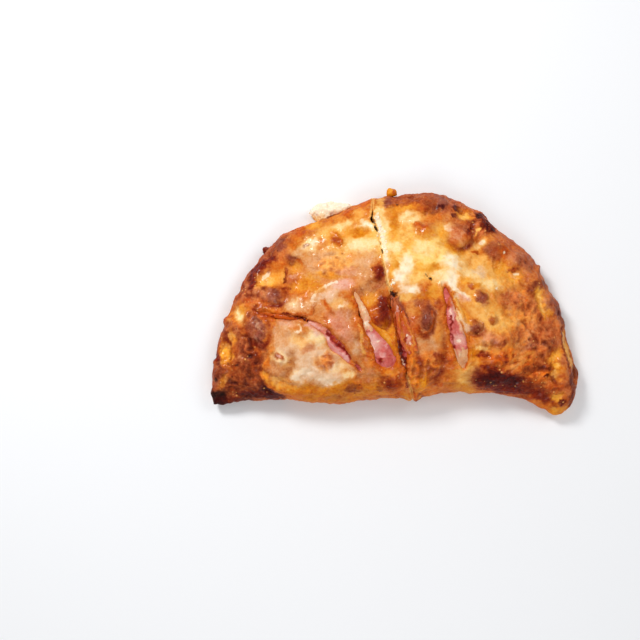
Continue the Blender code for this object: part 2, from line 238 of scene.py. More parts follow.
MARKS = (
    # left tip and left flank
    ("soot", -134, -75, 9, 6, 10, 0.95),
    ("char", -126, -76, 16, 3.5, 2, 0.7),
    ("mauve", -133, -62, 5, 8, 10, 0.5),
    ("umber", -108, -66, 18, 8, 0, 0.7),
    ("char", -93, -71, 10, 4.5, -28, 0.95),
    ("char", -101, -71, 9, 3, 0, 0.6),
    ("mahogany", -106, -43, 4, 13, 12, 0.3),
    ("clay", -115, -38, 5, 10, -8, 0.7),
    ("rust", -101, -36, 5, 8, 0, 0.55),
    ("mauve", -103, -22, 7.5, 12, 18, 0.95),
    ("mauve", -99, -33, 4, 6, 0, 0.7),
    ("oat", -102, -20, 1.2, 6, 28, 0.35),
    ("oat", -104, -28, 1.0, 4, 20, 0.3),
    ("rust", -112, -24, 6, 6, 0, 0.5),
    ("rust", -124, -42, 6, 14, 0, 0.4),
    ("chestnut", -119, -11, 9, 9, 20, 0.9),
    ("cream", -118, -12, 4.4, 5.4, 24, 0.95),
    ("gold", -114, -9, 3, 4, 0, 0.5),
    ("mahogany", [(-127, -28), (-131, -37), (-134, -46)], 3, 0.8),
    ("gold", -127.5, -40, 3.2, 7, 8, 0.95),
    ("gold", -123, -29, 2.4, 4.5, 10, 0.5),
    ("gold", -129, -62, 2, 5, -25, 0.4),
    ("soot", -119, -49, 1.6, 1.2, 0, 0.7),
    ("soot", -134, -60, 1.6, 1.6, 0, 0.6),
    ("char", -121, -63, 5, 1.3, 0, 0.6),
    ("char", -112, -71, 8, 1.8, 0, 0.6),
    ("clay", -104, -63, 1.2, 5, 10, 0.5),
    # left rim and its window
    ("mahogany", [(-106, 12), (-104, 20), (-98, 27), (-90, 30)], 6, 0.85),
    ("ochre", -91, 17, 13, 7, 22, 0.95),
    ("gold", -94, 15, 9, 4.5, 22, 0.85),
    ("mahogany", [(-108, 9), (-106, 19), (-100, 27), (-91, 30)], 5, 0.9),
    ("honey", -97, 15, 6, 4.5, 40, 0.8),
    ("milk", [(-101, 16), (-95, 21)], 1.8, 0.8),
    ("tan", -95, 22, 0.9, 1.4, 0, 0.8),
    ("chestnut", -88, 25, 7, 3.5, 0, 0.8),
    ("honey", -85, 17, 4, 3, 20, 0.6),
    ("mahogany", [(-82, 24), (-83, 14)], 2, 0.7),
    ("clay", -78, 17, 5, 5, 0, 0.9),
    ("rose", -78, 18, 2.4, 2, 0, 0.5),
    ("mahogany", -82, 9, 2.5, 1.5, 0, 0.8),
    ("mauve", -91, 3, 8.5, 6.5, -8, 0.95),
    ("umber", -87, 2, 2.2, 1.6, 0, 0.8),
    ("umber", -90, 6, 1.6, 1.6, 0, 0.6),
    ("clay", -106, 5, 7, 4, 20, 0.8),
    ("rust", -102, -3, 12, 5, -8, 0.7),
    ("mauve", -84, 42, 7, 4.5, 38, 0.8),
    ("mauve", -77, 31, 5, 4, 0, 0.8),
    ("rust", -72, 29, 2.4, 2.4, 0, 0.95),
    ("rust", -70, 54, 8, 3.4, 28, 0.7),
    ("chestnut", -74, 45, 8, 5, 35, 0.7),
    ("umber", -93, 34, 4, 4, 0, 0.5),
    ("gold", -75, 24, 5, 4, 20, 0.6),
    ("gold", -60, 57, 6, 3, 20, 0.9),
    ("amber", -66, 12, 9, 7, 0, 0.85),
    ("chestnut", -80, 1, 5, 3, 30, 0.5),
    ("gold", -73, 8, 6, 4, 0, 0.5),
    ("cream", -64, 43, 9.5, 5.6, 20, 0.9),
    ("oat", -72, 37, 5, 4, 20, 0.7),
    ("mauve", -67, 42, 3, 2, 20, 0.5),
    ("milk", -61, 44, 2.4, 3, 20, 0.7),
    # back left
    ("chestnut", -55, 44, 4, 5, 0, 0.6),
    ("honey", -50, 53, 10, 4, 20, 0.7),
    ("rust", -46, 60, 1.8, 1.6, 0, 0.5),
    ("rust", -33, 66, 8, 3.2, 20, 0.7),
    ("honey", -26, 66, 7, 2.6, 24, 0.6),
    ("rust", -22, 74, 6, 2, 26, 0.5),
    ("milk", -21, 55, 5.5, 3, -10, 0.85),
    ("cream", -38, 57, 8, 3, 18, 0.7),
    ("amber", -27, 51, 9, 4, 6, 0.95),
    ("cream", -26, 42, 17, 5, 4, 0.9),
    ("rust", -43, 46, 4, 6, 20, 0.95),
    ("amber", -43, 45, 6.5, 8, 20, 0.6),
    ("rust", -42, 44, 3, 4, 20, 0.8),
    ("honey", -34, 33, 12, 6, 0, 0.7),
    ("chestnut", -30, 33, 8, 3, 10, 0.4),
    ("ochre", -47, 26, 12, 5, 0, 0.7),
    ("amber", -50, 19, 10, 3, -6, 0.7),
    ("beige", -22, 31, 9, 8, 0, 0.8),
    ("blush", -34, 22, 8, 4, 0, 0.5),
    ("rose", -38, 11, 10, 5, 10, 0.85),
    ("beige", -22, 19, 8, 6, 0, 0.7),
    ("rust", -10, 24, 6, 9, -18, 0.8),
    ("mahogany", -11, 21, 4, 7.5, -18, 1.0),
    # The tan dab and tan band lay painted shadow in the sunk dip round (-16, 10).
    ("tan", -17, 10, 10, 5, 28, 1.0),
    ("fawn", -20, 6, 6, 4, 0, 0.6),
    ("tan", [(-7, 14), (-15, 11), (-27, 6)], 7, 0.85),
    ("russet", [(-8, 15), (-13, 12)], 5, 0.5),
    ("oat", -51, 6, 10, 6, 24, 0.55),
    # This white band is partly a pale torn edge and partly a painted highlight along the raised ridge.
    ("milk", [(-62, -1), (-59, 6), (-51, 11), (-43, 13)], 2.4, 0.85),
    ("rose", -50, 4, 6, 3, 18, 0.4),
    ("oat", -50, 2, 8, 5, 0, 0.7),
    ("amber", -58, 8, 6, 4, 0, 0.5),
    ("gold", -20, 0, 9, 4, 20, 0.7),
    ("honey", -41, -4, 10, 4, 0, 0.6),
    # back right
    ("honey", -10, 72, 3.4, 8, 0, 0.8),
    ("mauve", -4, 75, 4, 3.4, -20, 0.85),
    ("soot", 3, 72.5, 1.0, 1.2, 0, 0.9),
    ("umber", 28, 70, 8, 5, 0, 0.85),
    ("rust", 16, 70, 12, 3.4, 0, 0.6),
    ("gold", 8, 69, 9, 2.4, 4, 0.8),
    ("cream", 12, 63, 10, 4, 6, 0.8),
    ("amber", -1, 61, 4.4, 10, 4, 0.9),
    ("ochre", -4, 66, 3, 6, 0, 0.7),
    ("rust", 18, 57, 3.4, 3.4, 0, 0.9),
    ("rust", 23, 53, 7, 4.6, -10, 1.0),
    ("amber", 23, 49, 10, 4, 0, 0.7),
    ("clay", 26, 58, 4, 4, 0, 0.6),
    ("chestnut", 30, 63, 8, 4, 10, 0.8),
    ("gold", 12, 42, 6, 4, 10, 0.8),
    ("gold", 0, 49, 5, 4, 0, 0.7),
    ("cream", 2, 41, 6, 4, 0, 0.8),
    ("cream", 22, 40, 9, 6, 0, 0.6),
    ("amber", 32, 25, 9, 3.2, 14, 0.75),
    ("gold", 22, 24, 8, 4, 14, 0.6),
    ("amber", -2, 32, 3.4, 6.5, 12, 0.8),
    ("amber", 2, 27, 5, 3, -40, 0.95),
    ("gold", -1, 21, 2.2, 5, 0, 0.8),
    ("milk", 6, 17, 5.4, 6, 30, 0.95),
    ("milk", 10, 27, 5, 9, 0, 0.85),
    ("milk", 12, 8, 9, 4, 4, 0.95),
    ("butter", 16, 16, 8, 4, 0, 0.6),
    ("butter", 8, 2, 7, 3, 0, 0.7),
    ("rust", 24, 8, 5.4, 3.6, 24, 0.95),
    ("amber", 22, 3, 10, 3, 0, 0.6),
    ("gold", 32, 6, 5, 6, 0, 0.8),
    ("milk", 45, 27, 8, 6, 0, 0.85),
    ("milk", 44, 15, 6, 7, 0, 0.85),
    ("cream", 36, 18, 8, 5, 0, 0.8),
    ("amber", 47, 39, 8, 3.4, -22, 0.9),
    ("amber", 40, 43, 6, 3, -20, 0.6),
    ("gold", 36, 52, 6, 5, 0, 0.8),
    # painted highlight
    ("milk", 42, 55, 4, 3, 0, 0.75),
    ("blush", 50, 50, 8.5, 9, 0, 0.75),
    # The rust and mahogany on the dome's right side are painted shade.
    ("rust", 56.5, 49, 3.4, 7, -24, 0.9),
    ("clay", 50, 54, 6, 4, 0, 0.6),
    ("mahogany", 57, 52, 1.8, 4, -24, 0.7),
    ("rust", 46, 44, 5, 2.5, -20, 0.6),
    ("mauve", 37, 73.5, 4, 5, -10, 0.9),
    ("char", 36, 70.5, 3, 1.6, 10, 0.8),
    ("char", 48, 70, 4.4, 1.8, -20, 0.85),
    ("char", 46, 65, 2.2, 1.8, 30, 0.8),
    ("gold", 54, 65, 5, 3.6, -20, 0.95),
    ("honey", 54, 65, 4, 3, 0, 0.9),
    ("char", 66, 62, 3.6, 4.6, 30, 0.95),
    ("russet", 61, 59, 3.6, 3.6, 0, 0.7),
    ("char", 71, 55.5, 6, 3.2, -32, 0.95),
    # painted highlight along the raised fold
    ("honey", [(62, 50), (66, 56)], 1.4, 0.7),
    ("ochre", 72, 47, 5, 4, 0, 0.8),
    # painted highlight
    ("cream", 66, 43, 5, 3, 30, 0.7),
    ("milk", 67, 44, 2, 1.4, 30, 0.7),
    ("rust", 62, 36.5, 3.4, 1.8, -10, 0.9),
    ("mauve", 75, 38, 6.5, 6.5, 0, 0.7),
    ("russet", 78, 35, 5, 6, 0, 0.8),
    ("rust", 84, 36, 4.5, 3.4, 0, 0.8),
    ("mahogany", 79, 28, 1.8, 5, -24, 0.5),
    ("blush", 91, 31, 5, 4, 0, 0.5),
    # painted highlight
    ("milk", 84, 35.5, 1.0, 1.0, 0, 0.9),
    ("gold", 84, 22, 8, 5, -30, 0.8),
    ("mahogany", 91, 23, 5, 1.6, 0, 0.6),
    # painted highlight
    ("milk", 93, 19, 1.8, 1.6, 0, 0.85),
    ("gold", 92, 16, 5, 3, 0, 0.6),
    ("mauve", 100, 30, 10, 6, -42, 0.45),
    ("umber", 106, 9, 7, 4.4, 28, 1.0),
    ("umber", 113, 12, 5, 4, 0, 0.6),
    ("cream", 60, 20, 10, 5, -20, 0.7),
    ("oat", 66, 22, 5, 4, 0, 0.7),
    ("rust", 59, 10, 2.6, 3, 20, 0.85),
    ("amber", 64, 11, 5, 2, 10, 0.8),
    ("gold", 55, 14, 5, 3, 0, 0.6),
    ("cream", 74, 12, 6, 6, 0, 0.7),
    # painted highlight
    ("milk", 78, 8, 1.4, 1.2, 0, 0.8),
    ("clay", 88, 2, 9, 6, 0, 0.8),
    ("russet", 96, -4, 9, 5, 0, 0.5),
    # right flank
    ("gold", [(110, 5), (113, -4), (116, -11)], 5.5, 1.0),
    ("honey", [(111, 3), (114, -8)], 2.6, 0.9),
    ("mauve", 121, -6, 5, 7, 20, 0.7),
    ("char", 124.5, -11, 2, 2, 0, 0.7),
    ("russet", 66, 1, 3.8, 6.6, 28, 0.95),
    ("mauve", 65, 1, 3, 5, 28, 0.7),
    ("russet", 74.5, -15, 3.6, 2.6, -20, 0.9),
    ("mauve", 61, -21, 8, 6, -14, 1.0),
    ("umber", 63, -23, 5, 3.6, 0, 0.9),
    ("blush", 71, -28, 6, 5, -30, 0.7),
    ("clay", 78, -31, 5, 5, 0, 0.8),
    ("mahogany", 81, -33, 1.4, 3.4, 0, 0.5),
    ("cream", 66, -36.5, 5, 1.6, -18, 0.6),
    ("mahogany", 67, -41, 5, 2.6, 0, 0.7),
    ("amber", 60, -40, 4, 5, 0, 0.7),
    ("honey", 84, -17, 9, 5, 0, 0.6),
    ("russet", 88, -30, 7, 5, 0, 0.5),
    ("russet", 106, -31, 6, 4.4, 0, 0.7),
    ("ochre", 99, -14, 9, 6, 0, 0.6),
    ("rust", 95, -46, 8, 3, 10, 0.6),
    ("umber", 116, -34, 5, 5, 0, 0.8),
    ("mauve", 102, -36, 6, 3, 0, 0.5),
    ("clay", 117, -27, 3, 3, 0, 0.6),
    ("rust", 78, -44, 9, 5, 20, 0.7),
    ("ochre", 96, -43, 12, 1.6, 20, 0.6),
    ("ochre", 92, -49, 12, 1.8, 24, 0.7),
    ("mahogany", 84, -44, 2, 3.4, 0, 0.6),
    ("umber", 104, -52, 12, 3, 14, 0.6),
    ("mahogany", 71, -50.5, 6, 1.8, -6, 0.7),
    ("mahogany", 80, -60, 22, 8, -8, 0.95),
    ("mahogany", 76, -64, 17, 6, -6, 0.9),
    ("char", 77, -60, 14, 6, -4, 0.95),
    ("mahogany", 98, -66, 20, 7, -22, 0.8),
    ("char", 91, -61, 12, 4.5, -12, 0.75),
    ("umber", 110, -65, 13, 6, -22, 0.6),
    ("mahogany", 112, -74, 10, 4, -28, 0.85),
    ("char", 114, -57, 4, 1.2, 10, 0.7),
    ("rust", 104, -62, 12, 2, 10, 0.5),
    ("umber", 112, -46, 5, 6, 0, 0.6),
    # The gold spots here are partly glossy pools and partly painted highlight, and their small honey cores
    # are painted highlights.
    ("gold", 122, -42, 5, 3.0, 34, 0.9),
    ("honey", 121, -43, 2.6, 1.4, 20, 0.6),
    ("umber", 119, -51, 2, 4, 0, 0.8),
    ("gold", 122.5, -50, 3, 2.0, -30, 0.9),
    ("honey", 123.5, -49.5, 1.4, 1, -30, 0.7),
    ("honey", 122, -57, 3.4, 2.8, 10, 0.95),
    ("honey", 121.5, -57, 1.4, 1.4, 10, 0.7),
    ("umber", 119, -60, 3, 1.6, 20, 0.5),
    ("gold", 126, -55, 3, 6, 10, 0.6),
    ("russet", 129, -60, 4, 8, 8, 0.8),
    ("umber", [(133, -58), (135, -70), (132, -80)], 4.5, 0.9),
    ("rust", 122, -66, 7, 4, 0, 0.7),
    # partly a painted highlight
    ("gold", 123, -74.5, 4.4, 2.6, 14, 0.9),
    ("char", 126, -77, 3, 1.4, 20, 0.7),
    ("char", 119.5, -82.5, 2, 1.2, 0, 0.8),
    ("gold", 124, -83, 7, 3, -8, 0.8),
    ("chestnut", 114, -82, 4, 2.4, 0, 0.7),
    ("honey", [(128, -25), (130, -34), (133, -45), (135, -52)], 3.0, 0.8),
    ("umber", [(126, -20), (127, -34), (131, -47), (133, -58)], 1.6, 0.7),
    ("umber", [(127, -14), (129, -20)], 4, 0.8),
    ("umber", 137, -55, 3, 4.4, 0, 0.9),
    # left patch
    ("chestnut", [(-95, -13), (-93, -26), (-94, -44), (-99, -54),
                 (-94, -64), (-84, -69), (-70, -71)], 6, 0.9),
    ("gold", [(-98, -54), (-94, -62), (-84, -66), (-72, -67)], 2.4, 0.6),
    ("amber", [(-80, -69), (-66, -68), (-56, -66)], 4, 0.6),
    ("beige", -85, -27, 6, 11, 0, 0.8),
    ("rose", -82, -17, 8, 3, -6, 0.5),
    ("rose", -75, -14, 4, 2, 0, 0.5),
    ("oat", -84, -44, 8, 7, 0, 0.8),
    # painted shade in the sunk trough of the patch
    ("tan", -79.5, -50, 5, 12, -22, 0.95),
    ("fawn", -88, -55, 7, 6, 0, 0.6),
    # painted highlight
    ("cream", -73, -57, 6, 4, 30, 0.6),
    ("honey", -86, -62, 8, 3, -24, 0.5),
    ("oat", -61, -49, 10, 8, 0, 0.7),
    ("honey", -70, -31, 10, 5, 0, 0.6),
    ("chestnut", -71, -22, 7, 5, 0, 0.7),
    ("milk", -71.5, -20.5, 1.2, 3, 10, 0.8),
    ("milk", -73.5, -24, 2, 1.6, 0, 0.8),
    ("clay", -65, -37, 5, 3, 0, 0.5),
    ("cream", -59, -28, 7, 5, -20, 0.8),
    ("rose", -63, -20, 6, 2.4, -14, 0.9),
    ("ham_pale", -58, -24, 4, 3, -30, 0.6),
    ("chestnut", -55, -50, 6, 7, 30, 0.55),
    ("clay", -50, -46, 4, 6, 0, 0.5),
    ("chestnut", -51, -44, 3, 5, 10, 0.6),
    ("oat", -50, -60, 15, 6, 0, 0.95),
    ("milk", -51, -61, 8, 2.6, 0, 0.6),
    # painted highlights
    ("milk", -74, -58, 5, 2.6, 30, 0.75),
    ("milk", -67, -55, 5, 2.4, -20, 0.55),
    ("cream", -41, -51, 7, 4, 20, 0.5),
    ("cream", -34, -56, 5, 3, 40, 0.8),
    ("amber", -40, -65, 10, 3.4, 14, 0.8),
    ("tan", -58, -64, 8, 4, 0, 0.4),
    ("umber", -32, -67, 6.4, 3.2, 12, 0.85),
    ("rust", -24, -60, 6, 5, 40, 0.5),
    ("tan", -44, -74, 9, 2.4, 0, 0.5),
    ("oat", -70, -58, 6, 4, 0, 0.6),
    # the eye-shaped blister in the patch
    ("cream", -86, -43, 6.4, 4.6, -44, 0.8),
    ("clay", -87, -42.5, 4.2, 2.4, -44, 0.95),
    ("rose", -87.2, -42.4, 2.4, 1.2, -44, 0.9),
    # above the crack
    ("oat", -77, -4, 8, 6, -8, 0.8),
    ("cream", -75, -3, 4, 3, 0, 0.5),
    ("beige", -68, -6, 5, 5, 0, 0.8),
    ("rust", [(-84, -11), (-76, -12), (-68, -12), (-62, -9), (-60, -2)], 2.2, 0.7),
    # painted shadow under the upper edge of the crack
    ("mahogany", [(-107, -8), (-100, -11), (-94, -12), (-84, -11), (-67, -15)], 1.6, 0.85),
    ("rust", -96, -14, 6, 2, -14, 0.7),
    ("chestnut", -90, -9, 8, 2, 10, 0.6),
    ("oat", -62, -1, 4, 6, -20, 0.5),
    ("chestnut", [(-54, 0), (-50, -6), (-46, -13)], 4, 0.6),
    ("rust", [(-53, -1), (-50, -6), (-47, -10)], 1.6, 0.7),
    ("chestnut", [(-53, -12), (-49, -20)], 4, 0.7),
    ("rust", [(-52, -14), (-50, -19)], 1.6, 0.6),
    # painted highlight
    ("milk", -41, -5.5, 3, 1.4, 0, 0.8),
    # the flap over slit d
    ("milk", [(42, 13), (46, 8), (52, 5), (57, 2)], 3.4, 0.85),
    ("rose", 52, 2, 5, 2.6, -24, 0.8),
    ("ham", 40.5, 6, 1.6, 4, -14, 0.6),
    ("gold", 59, 3, 3, 3, 0, 0.5),
    ("oat", [(47, 2), (51, -9), (55, -22)], 5, 0.85),
    ("cream", [(47, -3), (51, -14)], 2.4, 0.6),
    # the pale torn edge beside the cut
    ("cream", [(-10, 67), (-8, 54), (-5, 42), (-4, 30)], 9, 0.7),
    ("milk", [(-13, 64), (-10, 54), (-8, 42), (-6, 30)], 4, 0.75),
    ("oat", [(-6, 28), (-4, 16), (-2, 8)], 2.4, 0.7),
    # painted shade in the fine line of the knife cut
    ("umber", [(-6, 14), (-3, 10), (-1, 6)], 1.2, 0.6),
    ("milk", [(-24, 60), (-18, 57)], 4, 0.7),
    # between the slits
    ("blush", -42, -20, 6, 13, 36, 0.6),
    ("fawn", -36, -12, 6, 5, 0, 0.5),
    ("oat", -30, -36, 3.4, 6, 0, 0.6),
    ("honey", [(-25, -18), (-25, -32), (-23, -40)], 2.4, 0.7),
    ("fawn", -20, -56, 8, 6, -36, 0.7),
    ("tan", -12, -60, 7, 4, -36, 0.5),
    ("rust", [(-31, 4), (-28, -4), (-25, -12), (-23, -22)], 3.2, 0.9),
    ("rust", [(-23, -34), (-19, -43), (-14, -50), (-8, -54)], 3.6, 0.6),
    ("gold", -29.5, 2, 1.6, 1.6, 0, 0.8),
    ("char", -8.5, -9, 4, 9, -8, 0.45),
    ("mahogany", -8, -7, 6.5, 12, -6, 0.95),
    ("mahogany", -11, -17, 3.4, 3.6, 0, 0.7),
    ("rust", -14, -12, 3, 7, 10, 0.5),
    ("gold", -5, -27, 5, 7, 10, 0.8),
    ("gold", -1, -54, 6, 3.4, 0, 0.75),
    ("mahogany", -2, -62, 8, 5.4, -6, 0.85),
    ("rust", 3, -58, 6, 8, 0, 0.5),
    ("umber", -11, -66, 2.4, 1.2, 0, 0.7),
    ("clay", [(-30, -77), (-10, -73), (4, -71.5)], 2, 0.7),
    # right of the cut
    ("mauve", [(3, 1), (6, -6), (10, -15)], 4.4, 0.9),
    # painted shadow beside the curled ham
    ("char", [(6, -9), (10, -17)], 1.2, 0.8),
    ("ochre", 15, -6, 6, 5.4, 0, 0.9),
    ("mauve", 19, -1, 4, 3, 0, 0.5),
    ("mauve", 25, -14, 5, 10.5, -6, 1.0),
    ("umber", 25, -20, 3.6, 4, 0, 0.6),
    ("ochre", 32, -22, 3.6, 11, 6, 0.8),
    ("rust", [(28, -8), (28.5, -17), (26, -24), (21, -25)], 1.6, 0.7),
    ("rust", 17, -23, 3, 5, 0, 0.6),
    ("rust", 21, -27, 4, 3, 0, 0.6),
    ("beige", 20, -35, 6, 6, 0, 0.75),
    ("ochre", 35, -20, 4, 14, 0, 0.6),
    ("rust", [(34, 0), (38, -10), (40, -20)], 3, 0.6),
    ("russet", 34, -4, 3, 4, 0, 0.6),
    ("mahogany", 33, -42, 6, 3.4, 0, 0.65),
    ("rust", 40, -46, 6, 6, 0, 0.6),
    ("amber", 20, -62, 5.4, 7, 0, 0.9),
    ("rust", 18, -61, 2, 4, 0, 0.5),
    ("chestnut", 21, -52, 4, 3, 0, 0.7),
    ("ochre", 28, -57, 8, 3, -30, 0.7),
    ("rust", 33, -64, 4, 2, 0, 0.6),
    ("gold", 15, -73.5, 8, 2.6, 0, 0.85),
    ("rust", [(10, -58), (12, -66), (15, -73)], 5, 0.8),
    # painted shade in the gap of the knife cut
    ("char", [(5, -33), (7, -42), (9.5, -55)], 4.4, 0.9),
    ("mahogany", [(9, -54), (11, -64)], 3, 0.7),
    # painted shade in the hole and gap of the cut
    ("soot", 0, 5, 2.2, 1.6, 0, 0.9),
    ("soot", [(-1, 3), (-1.5, -6)], 1.6, 0.9),
    ("chestnut", 45, -56, 4, 8, 0, 0.5),
    ("gold", [(46, 0), (52, -8), (56, -16)], 4, 0.7),
    ("rust", [(44, 2), (50, -8)], 1.6, 0.6),
    ("amber", 52, -66, 6, 2.4, 0, 0.7),
    ("soot", 27, 16, 1.6, 0.7, -20, 1.0),
    ("soot", 24.5, 18.5, 0.8, 0.4, -30, 0.6),
    ("tan", -39, 35, 1.2, 0.7, 0, 0.7),
)

LIGHTNESS = np.array([0.25, 0.65, 0.1])  # how much each of red, green and blue counts
WARMING = np.array([0.01, 0.045, 0.14])  # how much of each the deep tones lose
GLOWING = ("gold", "honey", "cream")  # thin spots, round which the browning fades through amber
HALO_SIZE = 1.45
HALO_STRENGTH = 0.75
CRISPEST_EDGE = 0.45


def baked_tint(colour):
    """The tones of the crust seen a little warmer, but for those that are pale or pink."""
    deep = soft_step(1 - colour[:, 2] / colour[:, 0], 0.4, 0.62)[:, None]
    return colour * (1 - deep * WARMING)


def wandered(plans, narrow):
    """The plan to draw a mark on: the larger the mark, the more its edge wanders."""
    return plans[0] if narrow < 2.4 else plans[1] if narrow < 6 else plans[2]


def mark_cover(plans, where, size):
    """How much a mark, drawn at that many times its size, covers each point: small ones have crisp edges."""
    banded = isinstance(where[0], list)
    narrow = where[1] if banded else min(where[2:4])
    hardness = np.clip(1.0 / narrow, 0.0, CRISPEST_EDGE) / size
    if banded:
        route, width = where
        return band_cover(wandered(plans, width / 2), route, width * size, hardness)
    x, y, rx, ry, turn = where
    return dab_cover(wandered(plans, narrow), x, y, rx * size, ry * size, turn, hardness)


def painted(points, marks, ground):
    """The colour at each point after every mark has gone on the ground tone."""
    plan = plan_of(points)
    drift = wander(points, 7 * MM, 3, (1, 2))
    fray = wander(points, 2.6 * MM, 2, (3, 4))
    wisps = wander(points, 1.3 * MM, 1, (6, 7))
    plans = [plan + share * drift + 0.9 * fray + 0.4 * wisps for share in (1.0, 1.7, 2.8)]
    mottle = cloud(points, 3.2 * MM, 3, 5)
    colour = np.tile(TONES[ground], (len(points), 1))
    for name, *where, strength in marks:
        if name in GLOWING:
            halo = mark_cover(plans, where, HALO_SIZE) * (1 - soft_step(colour @ LIGHTNESS, 0.35, 0.7))
            colour = laid_over(colour, "amber", np.clip(halo, 0, 1) * HALO_STRENGTH * strength)
        cover = mark_cover(plans, where, 1.0) * (1 + 0.35 * mottle)
        colour = laid_over(colour, name, np.clip(cover, 0, 1) * strength)
    return colour


# The slits snipped in the top, on the plan: x, y, width
SLITS = {
    "a": ((-107, -10, 1.2), (-92, -12, 1.2), (-70, -14, 1.6), (-56, -20, 4.5), (-44, -33, 7.5),
          (-34, -43, 5.5), (-26, -53, 1.4)),
    "b": ((-30, 6, 1.2), (-23, -9, 5), (-18, -22, 8), (-10, -33, 15), (-6, -44, 16), (-6, -50, 5)),
    "c": ((-1.5, 6, 1.6), (1, -6, 5), (5, -20, 7.5), (7, -34, 7.5), (8, -46, 4), (9, -56, 1.4)),
    "d": ((39, 11, 1.2), (42, -2, 5), (47, -20, 9), (50, -34, 11), (52, -45, 7), (53, -51, 2)),
}

# Where the knife cut gapes, on the plan: route and width
CUT_HOLES = (
    ([(-14, 75), (-15, 70), (-17, 62)], 1.6),
    ([(-16, 61), (-12, 58)], 3.2),
    ([(-14, 56), (-12, 52)], 1.8),
    ([(-10, 50), (-10, 47)], 1.2),
    ([(-9, 44), (-9, 43)], 2.6),
    ([(-9, 38), (-8, 36)], 2.0),
    ([(-1, 5), (1, 4)], 3.4),
    ([(-1, 3), (-1, -6)], 2.4),
    ([(5, -32), (7, -42), (9, -54)], 3.0),
)


# ---------------------------------------------------------------- relief of the crust

# Raised blisters and sunk pools: x, y, half length, half width, turn, height
BLISTERS = (
    (-103, -22, 8, 12, 18, 1.6), (-91, 3, 9, 7, -8, 1.4), (-94, 15, 13, 6.5, 22, -1.3),
    (-118, -12, 5, 6, 24, -1.1), (-127.5, -40, 3.4, 7.4, 8, -1.0), (-84, 42, 9, 5, 38, 0.9),
    (-78, 17, 5, 5, 0, 0.6), (-77, 31, 5, 4, 0, 0.9), (-72, 29, 2.6, 2.6, 0, 0.9),
    (-65, 43, 9, 5.4, 20, -0.7), (-77, -5, 8, 6, -8, 0.8), (-68, -6, 6, 5, 0, 0.5),
    (-62, 26, 9, 15, 0, -0.9), (-43, 45, 4.4, 6, 20, 0.7), (-46, 28, 10, 6, 0, 0.7),
    (-33, 66, 8, 3.4, 20, 0.7), (-27, 51, 9, 4, 6, -0.6), (-26, 42, 15, 5, 4, 0.5),
    (-38, 11, 10, 5, 10, 0.7), (-50, 6, 9, 5, 10, 0.4), (-11, 22, 4.4, 8, -18, 1.0),
    (-16, 10, 9, 4, 28, -1.1), (-4, 75, 4, 4, 0, 0.8), (28, 72, 10, 6, 0, 0.6), (18, 57, 4, 4, 0, 0.8),
    (24, 53, 7, 5, 0, 0.5), (51, 50, 9, 10, 0, 2.0), (37, 73, 4.4, 5, 0, 1.0), (54, 65, 6, 4, -20, -0.9),
    (61, 59, 4, 4, 0, 0.9), (66, 62, 4.4, 5, 30, 1.2), (71, 55, 6.5, 4, -32, 1.2), (63, 45, 6, 4, 30, -0.8),
    (76, 37, 8, 8, 0, 1.1), (91, 31, 6, 5, 0, 1.0), (84, 22, 8, 5, -30, -0.7), (62, 36, 4, 2.4, 0, 0.6),
    (24, 8, 6, 4, 24, 0.7), (12, 8, 9, 4, 0, 0.5), (34, 24, 10, 4, 14, -0.7), (45, 24, 8, 9, 0, 0.5),
    (106, 8, 6, 4, 28, 1.0), (113, -3, 3, 9, 18, -0.9), (121, -6, 5, 8, 20, 1.0), (66, 1, 4.4, 7, 28, 1.2),
    (75, -15, 4, 3, -20, 0.7), (61, -21, 7, 5.6, -14, 1.4), (72, -29, 8, 6, -20, 0.8),
    (81, -30, 6, 6, 0, 0.5), (67, -41, 6, 3, 0, -0.9), (106, -31, 7, 5, 0, 0.6), (116, -34, 6, 5, 0, 1.1),
    (78, -44, 9, 5, 20, 0.9), (88, -30, 7, 5, 0, 0.7), (122, -42, 5, 3.6, 30, -1.0),
    (122, -52, 4, 7, 0, -1.2), (129, -60, 4.4, 9, 8, 1.1), (123, -75, 5, 3, 14, -0.9),
    (120, -66, 6, 4, 0, 0.9), (-85, -27, 7, 11, 0, 0.6), (-79, -50, 5, 12, -22, -1.3),
    (-86, -43, 7, 5, -44, 0.9), (-87, -42.5, 3.4, 1.6, -44, -0.6), (-75, -57, 7, 5, 30, 0.6),
    (-64, -48, 10, 8, 0, 0.6), (-70, -31, 8, 5, 0, -0.6), (-71, -22, 6, 5, 0, 0.4),
    (-52, -48, 8, 7, 30, 0.7), (-50, -60, 12, 6, 0, 0.4), (-42, -51, 7, 5, 20, 0.3),
    (-32, -67, 6.4, 3.4, 12, 0.6), (-41, -20, 7, 15, 36, 0.7), (-30, -34, 5, 14, 12, 0.8),
    (-8, -10, 6, 13, -6, 1.4), (-2, -62, 8, 6, -6, 0.9), (-20, -57, 9, 6, -36, -0.9),
    (25, -15, 6, 11.5, -6, 1.5), (15, -5, 6, 6, 0, 0.6), (20, -35, 8, 8, 0, -0.9), (20, -62, 6, 8, 0, 0.7),
    (31, -42, 8, 4, 0, 0.5), (36, -20, 4, 16, 0, 0.9), (-106, 5, 7, 5, 20, 0.9), (-112, -46, 6, 12, 0, 0.8),
    (-106, -62, 10, 6, 0, 0.7), (-131, -58, 5, 10, 8, 0.7), (96, -4, 9, 6, 0, 0.7),
    (14, -73.5, 7, 3, 0, 2.0), (127, -18, 3.4, 3.4, 0, 1.0), (137, -56, 3.4, 4.4, 0, 0.4),
    (111, 25, 3, 3, 0, 1.2), (-131, -14, 4, 4, 0, 1.2), (-138, -46, 4, 4, 0, 1.0),
    (-34, -16, 7, 24, 32, 1.3), (27, -30, 10, 26, 6, 1.4), (76, -22, 15, 26, 10, 0.9),
    (-74, -40, 18, 18, 0, 0.7), (-14, -60, 26, 8, 0, 0.7), (20, 45, 24, 18, 0, 0.8),
    (-40, 40, 26, 14, 16, 0.7),
)

